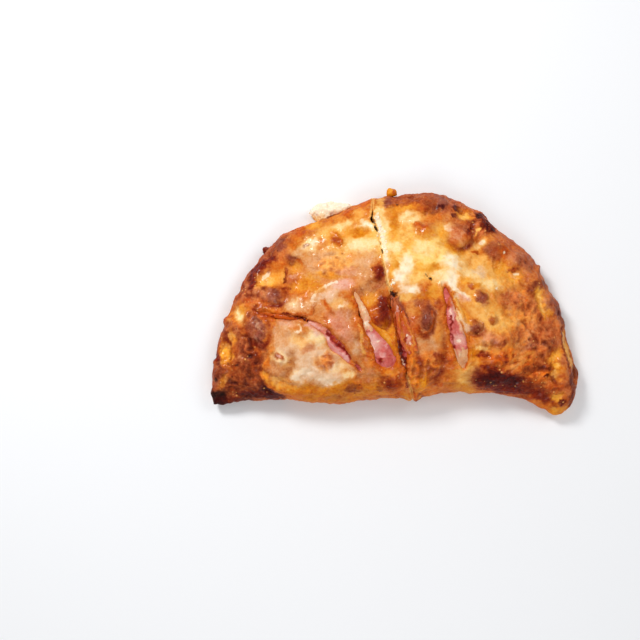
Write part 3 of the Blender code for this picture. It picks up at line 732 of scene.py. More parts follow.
# Narrow creases and raised folds: route, width, height
CREASES = (
    ([(-111, -6), (-104, -10), (-95, -12.5), (-84, -11.5), (-67, -15)], 2.6, -1.3),
    ([(-106, -4), (-95, -7), (-84, -7), (-72, -10), (-63, -8), (-60, -1)], 4.5, 0.8),
    ([(-127, -28), (-131, -37), (-134, -46)], 2.2, -0.9),
    ([(-106, 12), (-104, 20), (-98, 27), (-90, 30)], 4.0, 0.9),
    ([(-95, -14), (-93, -28), (-94, -44), (-99, -55), (-94, -65), (-82, -70), (-66, -71)], 5.0, 0.9),
    ([(-90, -16), (-89, -30), (-90, -46), (-94, -56), (-88, -62), (-76, -65)], 3.0, -0.8),
    ([(-54, 0), (-50, -6), (-47, -12)], 2.4, -0.8),
    ([(-62, -1), (-59, 6), (-51, 11), (-43, 13)], 2.4, 0.9),
    ([(-25, -16), (-25, -30), (-23, -42)], 2.6, 0.7),
    ([(-55, -13), (-50, -19)], 2.4, -0.7),
    ([(3, 1), (6, -6), (11, -17)], 2.4, -0.9),
    ([(28, -6), (29, -16), (26, -25), (21, -26)], 1.8, -0.7),
    ([(84, 36), (79, 30), (77, 24)], 2.2, -0.8),
    ([(58, 56), (59, 48), (54, 41)], 2.4, -0.9),
    ([(62, 50), (66, 56)], 1.6, 0.7),
    ([(40, 42), (48, 39), (56, 37)], 3.0, -0.7),
    ([(82, -52), (92, -49), (104, -43)], 2.4, 0.5),
    ([(84, -46), (94, -43), (106, -38)], 2.4, 0.4),
    ([(86, -58), (98, -54), (110, -50)], 2.6, 0.5),
    ([(92, -64), (106, -60), (116, -57)], 2.6, 0.4),
    ([(98, -71), (108, -68), (118, -65)], 2.8, 0.4),
    ([(88, -49), (98, -46)], 1.6, -0.7),
    ([(94, -60), (110, -55)], 1.8, -0.8),
    ([(66, -50), (78, -51)], 3.0, -0.5),
    ([(118, -38), (118, -50), (120, -62)], 2.4, -0.8),
    ([(10, -58), (12, -66), (15, -74)], 3.0, -0.8),
)

# Where the lower layer of dough shows as a ledge outside the upper one: route, width, drop
LEDGES = (
    ([(-112, 24), (-99, 39), (-86, 51), (-68, 60), (-44, 69), (-24, 78)], 5.0, 3.6),
    ([(126, -8), (131, -22), (135, -38), (139, -50), (139, -62)], 8.0, 5.0),
)


BLISTER_GAIN = 1.8
BLISTER_HARDNESS = -0.1  # below 0, so that a blister rises even more gently than a fully soft mark
RING_DEPTH = 0.5
HIGH_BLISTER = 1.4  # from this height on a blister has a trench round it


def slit_distance(plan, stations):
    """How far outside a slit's edge each point of the plan lies, in millimetres, below 0 inside the slit."""
    away = np.full(len(plan), np.inf)
    rows = np.array(stations, float)
    for a, b in zip(rows[:-1], rows[1:]):
        middle, t = run_distance(plan, a[:2], b[:2])
        away = np.minimum(away, middle - (a[2] + (b[2] - a[2]) * t) / 2)
    return away


def seam_relief(points, normals):
    """The seam round the sealed edge: a groove over the lower layer's lip."""
    side = soft_step(1 - np.abs(normals[:, 2]), 0.25, 0.6) * (1 - soft_step(-normals[:, 1], 0.35, 0.75))
    z = points[:, 2] / MM + 1.2 * cloud(points, 14 * MM, 2, 26)
    return (0.8 * hump(z, 4.6, 2.2) - 1.2 * hump(z, 8.6, 1.4)) * side * MM, side


def crust_relief(points, plan):
    """How far the baked top stands off the plain dough, in metres."""
    strayed = plan + 2.2 * wander(points, 8 * MM, 3, (21, 22))
    height = 0.8 * cloud(points, 22 * MM, 2, 30)
    height += 0.75 * cloud(points, 8 * MM, 2, 31)
    height += 0.28 * cloud(points, 3.4 * MM, 2, 32)
    for *oval, rise in BLISTERS:
        height += BLISTER_GAIN * rise * dab_cover(strayed, *oval, BLISTER_HARDNESS)
    height -= RING_DEPTH * blister_trench_and_shade(strayed)
    for route, width, rise in CREASES:
        height += rise * band_cover(strayed, route, width, 0.0)
    for stations in SLITS.values():
        away = slit_distance(strayed, stations)
        height += 0.9 * hump(away, 2.4, 1.7) - 0.5 * hump(np.clip(away, 0, None), 0, 0.9)
    return height * MM


# Where the crust dried to fine crags: x, y, half length, half width, turn
CRAGGY = (
    (102, -16, 18, 36, 12), (-114, -46, 22, 32, 12), (80, -36, 18, 14, 0), (112, -56, 16, 10, -16),
    (-104, 4, 14, 12, 0), (20, -55, 16, 16, 0), (66, 58, 14, 12, -30), (-47, 27, 14, 9, 0),
    (-52, -47, 8, 8, 0),
)


def craggy_share(plan):
    """How craggy the crust is at each point of the plan, from 0 to 1."""
    return np.max([dab_cover(plan, *zone, 0.0) for zone in CRAGGY], axis=0)


def blister_trench_and_shade(plan):
    """Nearest 1 in the trench round each high blister, mostly on its front right side, away from the key
    lamp, where it also serves as painted shade.
    """
    ring = np.zeros(len(plan))
    for *oval, rise in BLISTERS:
        if rise >= HIGH_BLISTER:
            dx, dy = plan[:, 0] - oval[0], plan[:, 1] - oval[1]
            shaded_side = 0.55 + 0.45 * (dx - dy) / (np.hypot(dx, dy) + 1e-6) / math.sqrt(2)
            ring = np.maximum(ring, hump(oval_distance(plan, *oval), 1.1, 0.22) * shaded_side)
    return ring


def wrinkles(points):
    """Fine crisp wrinkles, below 0 in their creases and above 0 on their ridges."""
    folds = 1 - 2.2 * np.abs(cloud(points * np.array([1.0, 1.0, 0.6]), 5.0 * MM, 2, 33))
    return 0.7 * folds + 0.35 * cloud(points, 2.2 * MM, 2, 34)


def ledge_drop(points, plan):
    """How far the rim steps down to the lower layer, in metres."""
    strayed = plan + 0.6 * wander(points, 6 * MM, 2, (24, 25))
    drops = [fall * band_cover(strayed, route, width, 0.5) for route, width, fall in LEDGES]
    return np.max(drops, axis=0) * MM


# ---------------------------------------------------------------- mesh helpers


def active_only(obj):
    """Selects one object and nothing else."""
    bpy.ops.object.select_all(action="DESELECT")
    bpy.context.view_layer.objects.active = obj
    obj.select_set(True)


def applied(obj, kind, **settings):
    """Adds a modifier with these settings and applies it."""
    modifier = obj.modifiers.new(kind.title(), kind)
    for name, value in settings.items():
        setattr(modifier, name, value)
    active_only(obj)
    bpy.ops.object.modifier_apply(modifier=modifier.name)
    return obj


def fine_skin(piece, grain, smoothing):
    """Gives a closed piece a fine, even skin."""
    applied(piece, "REMESH", mode="VOXEL", voxel_size=grain, adaptivity=0.0)
    applied(piece, "SMOOTH", factor=0.5, iterations=smoothing)


def skin_of(node, name, grain, smoothing=3):
    """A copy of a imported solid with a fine, even skin."""
    piece = bpy.data.objects.new(name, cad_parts[node].data.copy())
    bpy.context.scene.collection.objects.link(piece)
    piece.data.materials.clear()
    active_only(piece)
    bpy.ops.object.mode_set(mode="EDIT")
    bpy.ops.mesh.select_all(action="SELECT")
    bpy.ops.mesh.remove_doubles(threshold=0.01 * MM)
    bpy.ops.object.mode_set(mode="OBJECT")
    fine_skin(piece, grain, smoothing)
    return piece


def points_of(obj):
    """Where each of an object's points is, in metres."""
    co = np.empty(len(obj.data.vertices) * 3, np.float32)
    obj.data.vertices.foreach_get("co", co)
    return co.reshape(-1, 3).astype(float)


def normals_of(obj):
    """Which way each of an object's points faces."""
    no = np.empty(len(obj.data.vertices) * 3, np.float32)
    obj.data.vertex_normals.foreach_get("vector", no)
    return no.reshape(-1, 3).astype(float)


def move_points(obj, points):
    """Puts each of an object's points in a new place."""
    obj.data.vertices.foreach_set("co", points.astype(np.float32).ravel())
    obj.data.update()


def swell(obj, lift):
    """Moves each point out along its normal by that many millimetres."""
    move_points(obj, points_of(obj) + normals_of(obj) * (lift * MM)[:, None])


def give_colour(obj, name, colour):
    """Stores a colour at each point, given as screen shares, for the material to read."""
    layer = obj.data.attributes.new(name, "FLOAT_COLOR", "POINT")
    full = np.column_stack([linear(colour), np.ones(len(colour))]).astype(np.float32)
    layer.data.foreach_set("color", full.ravel())


def give_value(obj, name, value):
    """Stores a number at each point, or one number at all of them, for the material to read."""
    layer = obj.data.attributes.new(name, "FLOAT", "POINT")
    everywhere = np.broadcast_to(np.asarray(value, np.float32), len(obj.data.vertices))
    layer.data.foreach_set("value", np.ascontiguousarray(everywhere))


def tree_of(node):
    """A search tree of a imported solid's faces."""
    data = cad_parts[node].data
    corners = [v.co for v in data.vertices]
    return BVHTree.FromPolygons(corners, [tuple(p.vertices) for p in data.polygons])


def distance_to(node, points):
    """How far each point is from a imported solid's skin, in metres."""
    tree = tree_of(node)
    return np.array([tree.find_nearest(Vector(p))[3] for p in points])


def finished_piece(obj, nodes, material, paint, crisp, wet):
    """Gives a piece its looks, shades it smooth, hangs it on the root body and hides the solids it stands in
    for.
    """
    give_colour(obj, "paint", paint)
    give_value(obj, "crisp", crisp)
    give_value(obj, "wet", wet)
    obj.data.materials.clear()
    obj.data.materials.append(material)
    obj.data.polygons.foreach_set("use_smooth", np.ones(len(obj.data.polygons), bool))
    obj.data.update()
    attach(obj, "root")
    if nodes:
        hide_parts(*nodes)


# ---------------------------------------------------------------- shader groups and materials


PALEST_GAMMA = 0.88  # the most that uneven baking lightens a colour
SPECK_COLOUR = (*linear(tone(70, 14, 2)), 1)
# the pale tops of the tiny bubbles: partly their own colour, partly a painted highlight
BUBBLE_AND_HIGHLIGHT_COLOUR = (*linear(tone(244, 168, 92)), 1)


def node_in(tree, kind, **values):
    """A new node, with its plain inputs set by name."""
    node = tree.nodes.new(kind)
    for name, value in values.items():
        key = name.replace("_", " ")
        if key in node.inputs:
            node.inputs[key].default_value = value
        else:
            setattr(node, name, value)
    return node


def new_group(name, inputs, outputs):
    """An empty shader node group with these sockets."""
    group = bpy.data.node_groups.new(name, "ShaderNodeTree")
    for label, kind, default in inputs:
        socket = group.interface.new_socket(name=label, in_out="INPUT", socket_type=kind)
        socket.default_value = default
    for label, kind in outputs:
        group.interface.new_socket(name=label, in_out="OUTPUT", socket_type=kind)
    return group, group.nodes.new("NodeGroupInput"), group.nodes.new("NodeGroupOutput")


def math_node(tree, operation, first, second):
    """Two sockets or numbers put through one sum."""
    node = tree.nodes.new("ShaderNodeMath")
    node.operation = operation
    for slot, value in zip(node.inputs, (first, second)):
        if isinstance(value, (int, float)):
            slot.default_value = value
        else:
            tree.links.new(value, slot)
    return node.outputs[0]


def times(tree, first, second):
    """One socket or number times another."""
    return math_node(tree, "MULTIPLY", first, second)


def noise_in(tree, place, scale, detail=3.0, rough=0.55, distortion=0.0):
    """Noise on the object's own coordinates, with that many lumps a metre."""
    values = {"Scale": scale, "Detail": detail, "Roughness": rough, "Distortion": distortion}
    noise = node_in(tree, "ShaderNodeTexNoise", **values)
    tree.links.new(place, noise.inputs["Vector"])
    return noise.outputs["Fac"]


def browning_group():
    """Uneven baking: deepens or lightens a colour in small spots and blotches, and pits the surface."""
    group, into, out = new_group(
        "Oven browning",
        [("Color", "NodeSocketColor", (0.8, 0.5, 0.2, 1)), ("Blotches", "NodeSocketFloat", 0.5),
         ("Freckles", "NodeSocketFloat", 0.4)],
        [("Color", "NodeSocketColor"), ("Height", "NodeSocketFloat")],
    )
    links = group.links
    place = group.nodes.new("ShaderNodeTexCoord").outputs["Object"]
    blotch = noise_in(group, place, 170.0, 4.0, 0.55, 0.6)
    freckle = noise_in(group, place, 700.0, 2.0, 0.5)
    pushes = [
        times(group, math_node(group, "SUBTRACT", spots, 0.5), into.outputs[name])
        for spots, name in ((blotch, "Blotches"), (freckle, "Freckles"))
    ]
    depth = math_node(group, "ADD", math_node(group, "ADD", *pushes), 1.0)
    gamma = group.nodes.new("ShaderNodeGamma")
    links.new(into.outputs["Color"], gamma.inputs["Color"])
    links.new(math_node(group, "MAXIMUM", depth, PALEST_GAMMA), gamma.inputs["Gamma"])
    links.new(gamma.outputs[0], out.inputs["Color"])
    height = math_node(group, "ADD", times(group, blotch, 0.8), times(group, freckle, 0.2))
    links.new(height, out.inputs["Height"])
    return group


def beads_group():
    """Sparse round spots, such as the oven's tiny bubbles or burnt specks, as a mask."""
    settings = (("Scale", 300.0), ("Size", 0.2), ("Share", 0.3))
    group, into, out = new_group(
        "Tiny bubbles",
        [(name, "NodeSocketFloat", value) for name, value in settings],
        [("Mask", "NodeSocketFloat")],
    )
    links = group.links
    place = group.nodes.new("ShaderNodeTexCoord").outputs["Object"]
    cells = node_in(group, "ShaderNodeTexVoronoi", feature="F1", Randomness=1.0)
    links.new(place, cells.inputs["Vector"])
    links.new(into.outputs["Scale"], cells.inputs["Scale"])
    parts = group.nodes.new("ShaderNodeSeparateColor")
    links.new(cells.outputs["Color"], parts.inputs["Color"])
    chosen = math_node(group, "LESS_THAN", parts.outputs["Red"], into.outputs["Share"])
    radius = times(group, into.outputs["Size"], math_node(group, "ADD", parts.outputs["Green"], 0.4))
    rise = math_node(group, "SUBTRACT", 1.0, math_node(group, "DIVIDE", cells.outputs["Distance"], radius))
    dome = math_node(group, "MINIMUM", times(group, math_node(group, "MAXIMUM", rise, 0.0), 2.0), 1.0)
    links.new(times(group, dome, chosen), out.inputs["Mask"])
    return group


BROWNING = browning_group()
BEADS = beads_group()


def grouped(tree, group, **values):
    """A node that holds a shader group, with its inputs set by name."""
    node = tree.nodes.new("ShaderNodeGroup")
    node.node_tree = group
    for name, value in values.items():
        node.inputs[name].default_value = value
    return node


def mixed(tree, share, first, second):
    """One colour over another by a share."""
    mix = tree.nodes.new("ShaderNodeMix")
    mix.data_type = "RGBA"
    sockets = [socket for socket in mix.inputs if socket.type == "RGBA"]
    for socket, value in ((mix.inputs[0], share), (sockets[0], first), (sockets[1], second)):
        if isinstance(value, (int, float, tuple)):
            socket.default_value = value
        else:
            tree.links.new(value, socket)
    return [socket for socket in mix.outputs if socket.type == "RGBA"][0]


def food_material(name, blotches, freckles, roughness, bump, glow, glow_depth, coat):
    """A baked or melted surface. Its colour, crispness and wetness are stored on the piece."""
    material = bpy.data.materials.new(name)
    material.use_nodes = True
    tree = material.node_tree
    links = tree.links
    shader = tree.nodes["Principled BSDF"]
    paint = node_in(tree, "ShaderNodeAttribute", attribute_name="paint")
    wet = node_in(tree, "ShaderNodeAttribute", attribute_name="wet").outputs["Fac"]
    crisp = node_in(tree, "ShaderNodeAttribute", attribute_name="crisp").outputs["Fac"]
    place = tree.nodes.new("ShaderNodeTexCoord").outputs["Object"]
    browning = grouped(tree, BROWNING, Blotches=blotches, Freckles=freckles)
    links.new(paint.outputs["Color"], browning.inputs["Color"])

    # bubbles come in clusters, burnt specks anywhere, and both only where the dough is crisp; the bubbles are
    # real bumps, and their pale tops are partly a painted highlight
    patches = node_in(tree, "ShaderNodeMapRange", From_Min=0.5, From_Max=0.6)
    links.new(noise_in(tree, place, 95.0, 2.0), patches.inputs["Value"])
    clusters = times(tree, patches.outputs["Result"], crisp)
    bubbles = grouped(tree, BEADS, Scale=420.0, Size=0.34, Share=0.42).outputs["Mask"]
    specks = grouped(tree, BEADS, Scale=330.0, Size=0.24, Share=0.1).outputs["Mask"]
    bubble_and_highlight_share = times(tree, bubbles, times(tree, clusters, 0.85))
    speck_share = times(tree, specks, times(tree, crisp, 0.75))
    colour = mixed(tree, speck_share, browning.outputs["Color"], SPECK_COLOUR)
    colour = mixed(tree, bubble_and_highlight_share, colour, BUBBLE_AND_HIGHLIGHT_COLOUR)
    links.new(colour, shader.inputs["Base Color"])

    # juices lie in smears, which are smooth and clear
    smear = node_in(tree, "ShaderNodeMapRange", From_Min=0.42, From_Max=0.6)
    links.new(noise_in(tree, place, 210.0, 4.0), smear.inputs["Value"])
    wetness = times(tree, wet, smear.outputs["Result"])
    rough = node_in(tree, "ShaderNodeMapRange", To_Min=roughness[1], To_Max=roughness[0])
    links.new(wetness, rough.inputs["Value"])
    links.new(rough.outputs["Result"], shader.inputs["Roughness"])
    links.new(times(tree, wetness, coat), shader.inputs["Coat Weight"])

    grain = times(tree, browning.outputs["Height"], math_node(tree, "ADD", crisp, 0.3))
    height = math_node(tree, "ADD", grain, times(tree, bubble_and_highlight_share, 0.6))
    relief = node_in(tree, "ShaderNodeBump", Strength=bump, Distance=1.5 * MM)
    links.new(height, relief.inputs["Height"])
    links.new(relief.outputs["Normal"], shader.inputs["Normal"])
    shader.inputs["Coat Roughness"].default_value = 0.14
    shader.inputs["IOR"].default_value = 1.3
    shader.inputs["Specular IOR Level"].default_value = 0.2
    shader.inputs["Subsurface Weight"].default_value = glow
    shader.inputs["Subsurface Radius"].default_value = (1.0, 0.5, 0.25)
    shader.inputs["Subsurface Scale"].default_value = glow_depth
    return material


# Name, blotches, freckles, roughness wet and dry, bump, glow, depth of the glow, coat
CRUST_FINISH = food_material("baked_crust", 0.8, 0.8, (0.16, 0.48), 0.8, 0.04, 0.0012, 0.7)
FILLING_FINISH = food_material("filling", 0.4, 0.4, (0.2, 0.45), 0.4, 0.12, 0.003, 0.3)
HAM_FINISH = food_material("ham", 0.7, 0.5, (0.14, 0.4), 0.5, 0.1, 0.0015, 0.7)
CHEESE_FINISH = food_material("melted_cheese", 0.3, 0.35, (0.18, 0.42), 0.35, 0.15, 0.003, 0.5)


# ---------------------------------------------------------------- crust


OTHER = {"left": "right", "right": "left"}
CRUST_TRIANGLES = 172_000  # how many each half has
INNER_WALL = 1.2 * MM  # how near the filling the inner wall lies
SLIT_MARGIN = 4  # millimetres round a slit that may show
CUT_MARGIN = 3 * MM  # how near the other half a face may show in the cut
CRAG_HEIGHT = 0.42 * MM
MEAN_CLOSING = 0.62  # millimetres, on average, by which each face of the cut moves towards the other
GAPE_DEPTH = 0.9  # millimetres by which it draws back where the cut gapes
MIDDLE_TONE = 0.52  # the lightness at which the crust is most mottled
WRINKLE_SHADE_TINT = np.array([0.8, 1.2, 1.5])  # how much the wrinkles change red, green and blue, as painted shade in their creases and painted light on their ridges


def thin_unseen(piece, side):
    """Thins the wall against the filling and the underside, which never show."""
    share = CRUST_TRIANGLES / (2 * len(piece.data.polygons))
    if share >= 1:
        return
    points = points_of(piece)
    plan = plan_of(points)
    inner = distance_to(f"filling_{side}", points) < INNER_WALL
    to_slits = [slit_distance(plan, stations) for stations in SLITS.values()]
    by_slit = np.min(to_slits, axis=0) < SLIT_MARGIN
    by_cut = distance_to(f"crust_{OTHER[side]}", points) < CUT_MARGIN
    below = (points[:, 2] < 0.4 * MM) & (distance_to(f"crust_{side}", points) < 1 * MM)
    unseen = piece.vertex_groups.new(name="unseen")
    unseen.add(np.flatnonzero((inner & ~by_slit | below) & ~by_cut).tolist(), 1.0, "REPLACE")
    applied(piece, "DECIMATE", ratio=share, vertex_group="unseen")
    piece.vertex_groups.clear()


def cut_closing(points, plan):
    """How far the face of the knife cut moves out to meet the other half, or in where the cut gapes."""
    gape = np.max([band_cover(plan, route, width, 0.4) for route, width in CUT_HOLES], axis=0)
    close = MEAN_CLOSING + 0.25 * cloud(points, 2.5 * MM, 2, 27)
    return (close * (1 - gape) - GAPE_DEPTH * gape) * MM


def crust_half(side):
    """Half of the dough: blistered and browned on top, with a seam round its rim and a flat underside."""
    piece = skin_of(f"crust_{side}", f"crust_{side}_baked", CRUST_GRAIN)
    thin_unseen(piece, side)
    points = points_of(piece)
    plan = plan_of(points)
    normals = normals_of(piece)
    inward = distance_to(f"filling_{side}", points)
    outside = soft_step(inward, 1.6 * MM, 3.6 * MM)
    cut_face = 1 - soft_step(distance_to(f"crust_{OTHER[side]}", points), 1.3 * MM, 2.2 * MM)
    upper = soft_step(points[:, 2], 3 * MM, 9 * MM)
    colour = baked_tint(painted(points, GROUNDS + MARKS, "chestnut"))
    crisp = 1 - soft_step(colour @ LIGHTNESS, 0.34, 0.62)
    grain = wrinkles(points)
    craggy = craggy_share(plan)
    seam, rim = seam_relief(points, normals)

    crags = CRAG_HEIGHT * grain * (0.25 + 0.7 * crisp + 0.9 * craggy)
    shift = (crust_relief(points, plan) + crags) * outside * upper * (1 - 0.6 * cut_face)
    shift += seam * (1 - cut_face) + cut_face * cut_closing(points, plan)
    points += normals * shift[:, None]
    points[:, 2] -= ledge_drop(points, plan) * np.clip(normals[:, 2], 0, 1) * outside
    points[:, 2] = np.maximum(points[:, 2], 0)
    move_points(piece, points)

    plan = plan_of(points)
    normals = normals_of(piece)
    z = points[:, 2] / MM
    mottle = cloud(points, 5 * MM, 3, 28)
    patches = cloud(points, 9 * MM, 3, 41)
    scorched = soft_step(cloud(points, 16 * MM, 3, 29), 0.25, 0.7)
    below = soft_step(-normals[:, 2], 0.5, 0.9) * outside
    # painted shade in the wrinkles' creases and painted light on their ridges, stronger where the crust is
    # crisp and craggy
    depth = (0.03 + 0.14 * crisp + 0.22 * craggy) * np.clip(grain, -1.6, 0.9)
    colour = np.clip(colour * (1 + depth[:, None] * WRINKLE_SHADE_TINT), 0, 1)
    middling = (1 - np.abs(colour @ LIGHTNESS - MIDDLE_TONE) / 0.22) * (0.35 + 0.65 * craggy)
    slit_edges = [hump(slit_distance(plan, stations), 0, 1.5) for stations in SLITS.values()]
    for shade, share in (
        ("russet", 0.5 * middling * soft_step(patches, 0.1, 0.6)),
        ("oat", 0.35 * middling * soft_step(-patches, 0.15, 0.7)),
        # painted shade in the trench on the front right side of high blisters, away from the key lamp
        ("mahogany", 0.5 * blister_trench_and_shade(plan) * (1 + mottle)),
        *(("rust", 0.55 * edge * (0.7 + mottle)) for edge in slit_edges),
        ("honey", rim * 0.6 * hump(z, 8.0, 1.6)),
        ("chestnut", rim * 0.5 * (1 - soft_step(z, 4, 7))),
        ("ochre", below),
        ("russet", below * soft_step(mottle, -0.1, 0.5) * 0.7),
        ("umber", below * scorched * 0.7),
        ("cream", 1 - soft_step(inward, 1.2 * MM, 2.6 * MM)),
        ("butter", cut_face * outside * 0.6),
    ):
        colour = laid_over(colour, shade, np.clip(share, 0, 1))
    flat = soft_step(normals[:, 2], 0.45, 0.85)
    wet = np.clip(0.5 + 0.6 * cloud(points, 14 * MM, 2, 40), 0, 1) * flat * (1 - 0.5 * crisp)
    finished_piece(piece, [f"crust_{side}"], CRUST_FINISH, colour, crisp, wet)


# ---------------------------------------------------------------- filling, ham and cheese


def filling_half(side):
    """Half of the ham and cheese filling, lumpy where it shows."""
    piece = skin_of(f"filling_{side}", f"filling_{side}_melted", FILLING_GRAIN, 2)
    points = points_of(piece)
    swell(piece, -0.35 * np.abs(cloud(points, 5 * MM, 2, 50)) - 0.15 * np.abs(cloud(points, 2 * MM, 1, 51)))
    points = points_of(piece)
    colour = laid_over(TONES["cream"], "rose", soft_step(cloud(points, 9 * MM, 2, 52), 0.05, 0.3))
    finished_piece(piece, [f"filling_{side}"], FILLING_FINISH, colour, 0.1, 0.7)


HAM_MARKS = (
    # slit a
    ("blush", [(-68, -15), (-60, -18), (-53, -22)], 7, 0.95),
    ("ham_pale", [(-66, -17), (-56, -21)], 2.4, 0.8),
    ("rust", [(-66, -14), (-58, -16), (-53, -20)], 1.4, 0.7),
    ("ham_pale", [(-53, -29), (-46, -37), (-37, -46)], 6, 0.95),
    ("rose", -47, -37, 5, 1.6, -46, 0.8),
    ("ham", [(-51, -32), (-40, -44)], 3.4, 0.55),
    # painted shadow cast by the upper right edge of slit a
    ("ham_dark", [(-51, -25), (-45.5, -29), (-38, -36.5), (-32.5, -43.5)], 3.4, 1.0),
    ("rust", -43, -31, 2, 1, -40, 0.7),
    ("chestnut", -32, -48, 3.4, 3.4, 0, 1.0),
    ("ham_dark", -27.5, -52, 2, 4, 20, 1.0),
    # slit b
    ("oat", -22, -9, 4, 14, 18, 0.9),
    # painted highlight
    ("milk", -17.5, -19, 2.6, 3.6, 10, 0.85),
    ("ham_dark", [(-21, -24), (-15, -23)], 1.4, 0.8),
    ("ham_pale", -17, -32, 5.4, 9, 24, 1.0),
    ("rose", -11, -34, 5, 5, 0, 0.7),
    # painted highlights
    ("milk", [(-18, -34), (-15, -38)], 1.6, 0.85),
    ("milk", -12, -31, 1.6, 0.8, 0, 0.7),
    ("ham", -4, -40, 5.6, 9, 12, 0.95),
    ("ham_dark", -3, -46, 2.4, 5, 0, 0.35),
    ("ham_pale", -9, -42, 2.6, 2, 0, 0.7),
    ("ham_pale", -4, -34, 3, 1.2, 20, 0.6),
    ("ham_dark", -10.5, -46.5, 3, 2.4, 0, 0.95),
    ("cream", [(-14, -51), (-8, -53), (-2, -51)], 1.4, 0.8),
    ("ham_dark", [(-20, -26), (-19, -36), (-13, -46)], 1.0, 0.5),
    # slit c
    ("ham_pale", [(3, -5), (0, -15)], 3.4, 0.95),
    ("ham_pale", 4.5, -11, 3, 4, 0, 0.8),
    ("milk", -1.5, -19, 1.8, 4, 10, 0.85),
    ("rust", [(2, -15), (4, -26)], 3, 0.9),
    ("chestnut", 6.5, -22, 2, 8, 14, 0.9),
    # painted shade in the gap of the knife cut
    ("ham_dark", [(3, -26), (6, -38), (9, -50)], 4.4, 0.95),
    ("milk", [(4.5, -41), (7, -48), (9, -54)], 1.3, 0.8),
    # slit d
    ("oat", [(44, 8), (49, -5), (52, -18), (55, -27)], 6, 0.95),
    ("cream", [(46, -6), (50, -16)], 2, 0.6),
    ("rust", 42, -2, 2.4, 4, -10, 0.85),
    ("ham_dark", 41.5, -4, 1.4, 1.4, 0, 0.8),
    ("ham_pale", 43.5, -10, 3, 5, -10, 0.9),
    # painted highlight
    ("milk", 43, -8, 0.9, 2, 10, 0.8),
    ("ham_dark", [(42, -12), (43.5, -20), (45, -30), (46, -37)], 1.8, 0.95),
    ("ham", 47, -24, 3, 2.4, 0, 0.85),
    ("rose", 50, -31, 4.6, 5, 0, 0.95),
    # painted highlight
    ("milk", 49, -31.5, 1.8, 1.4, 0, 0.8),
    ("ham", 50, -36, 4, 1.2, -8, 0.6),
    ("beige", 52, -44, 4.4, 7, 10, 1.0),
    ("oat", 51, -40, 2, 2.6, 10, 0.6),
)


HAM_SPREAD = 2.3 * MM  # how far a slice swells into the walls of its slit


def ham_slice(name, turn):
    """A folded slice of ham in its slit, pleated along the slit."""
    piece = skin_of(f"ham_slice_{name}", f"ham_slice_{name}_folded", HAM_GRAIN, 4)
    points = points_of(piece)
    normals = normals_of(piece)
    across = points[:, 0] * math.cos(turn) + points[:, 1] * math.sin(turn)
    pleats = np.sin(across / (1.6 * MM) + 2.2 * cloud(points, 9 * MM, 2, 60))
    crown = soft_step(-slit_distance(plan_of(points), SLITS[name]), -0.5, 3.0)
    lift = 0.7 + 1.0 * crown + 0.45 * pleats + 0.7 * cloud(points, 5 * MM, 2, 61)
    points[:, 2] += lift * MM * np.clip(normals[:, 2], 0, 1)
    points[:, :2] += normals[:, :2] * HAM_SPREAD
    move_points(piece, points)
    colour = painted(points, HAM_MARKS, "ham")
    wet = np.clip(0.75 + 0.4 * cloud(points, 6 * MM, 2, 62), 0, 1)
    finished_piece(piece, [f"ham_slice_{name}"], HAM_FINISH, colour, 0.25, wet)


def cheese_lump(node, ground, marks, knobs, finish, push=(0, 0)):
    """Cheese that ran out of the seam and set, pushed by that many millimetres against the dough."""
    piece = skin_of(node, f"{node}_set", LUMP_GRAIN, 3)
    points = points_of(piece)
    swell(piece, knobs * (0.6 * cloud(points, 4 * MM, 3, 70) + 0.4 * np.abs(cloud(points, 2.4 * MM, 2, 71))))
    points = points_of(piece)
    points[:, :2] += np.array(push) * MM
    points[:, 2] = np.maximum(points[:, 2], 0)
    move_points(piece, points)
    finished_piece(piece, [node], finish, painted(points, marks, ground), 0.15, 0.6)


CRUST_TREES = [tree_of(f"crust_{half}") for half in OTHER]


def crust_height(x, y):
    """The height at which the plain crust shows at x, y on the plan, in metres."""
    eye = Vector(EYE)
    way = Vector((x * MM, y * MM, PLAN_HEIGHT)) - eye
    hits = [tree.ray_cast(eye, way)[0] for tree in CRUST_TREES]
    return max([hit.z for hit in hits if hit], default=PLAN_HEIGHT)


DIRECTION_REACH = 2  # millimetres each way over which a strip's direction is taken
STRIP_SMOOTHING = 3
SHOULDER = 3  # millimetres beyond a strip's edges at which it looks for the crust's height


def strip(name, grain, stations, rise, thick, spare, cup):
    """A closed strip along a route of x, y and width, that many millimetres above the crust.

    Its sides are cupped up or rounded down by cup, and it reaches by spare beyond its width.
    """
    rows = np.array(stations, float)
    bpy.ops.mesh.primitive_grid_add(x_subdivisions=72, y_subdivisions=14, size=2)
    piece = bpy.context.active_object
    piece.name = name
    sheet = points_of(piece)
    steps = np.hypot(*np.diff(rows[:, :2], axis=0).T)
    along = np.concatenate([[0], np.cumsum(steps)])
    wanted = (sheet[:, 0] + 1) / 2 * along[-1]
    middle, before, after = (
        np.column_stack([np.interp(wanted + ahead, along, rows[:, k]) for k in (0, 1)])
        for ahead in (0, -DIRECTION_REACH, DIRECTION_REACH)
    )
    run = (after - before) / np.linalg.norm(after - before, axis=1)[:, None]
    across = np.column_stack([-run[:, 1], run[:, 0]])
    half = np.interp(wanted, along, rows[:, 2]) / 2
    plan = middle + across * ((half + spare) * sheet[:, 1])[:, None]
    level = [
        max(crust_height(x + side * (width / 2 + SHOULDER), y) for side in (-1, 0, 1)) for x, y, width in rows
    ]
    height = np.interp(wanted, along, level) + (rise + cup * sheet[:, 1] ** 2) * MM
    move_points(piece, np.array([surface_of(x, y, z) for (x, y), z in zip(plan, height)]))
    applied(piece, "SOLIDIFY", thickness=thick * MM, offset=-1.0)
    fine_skin(piece, grain, STRIP_SMOOTHING)
    return piece


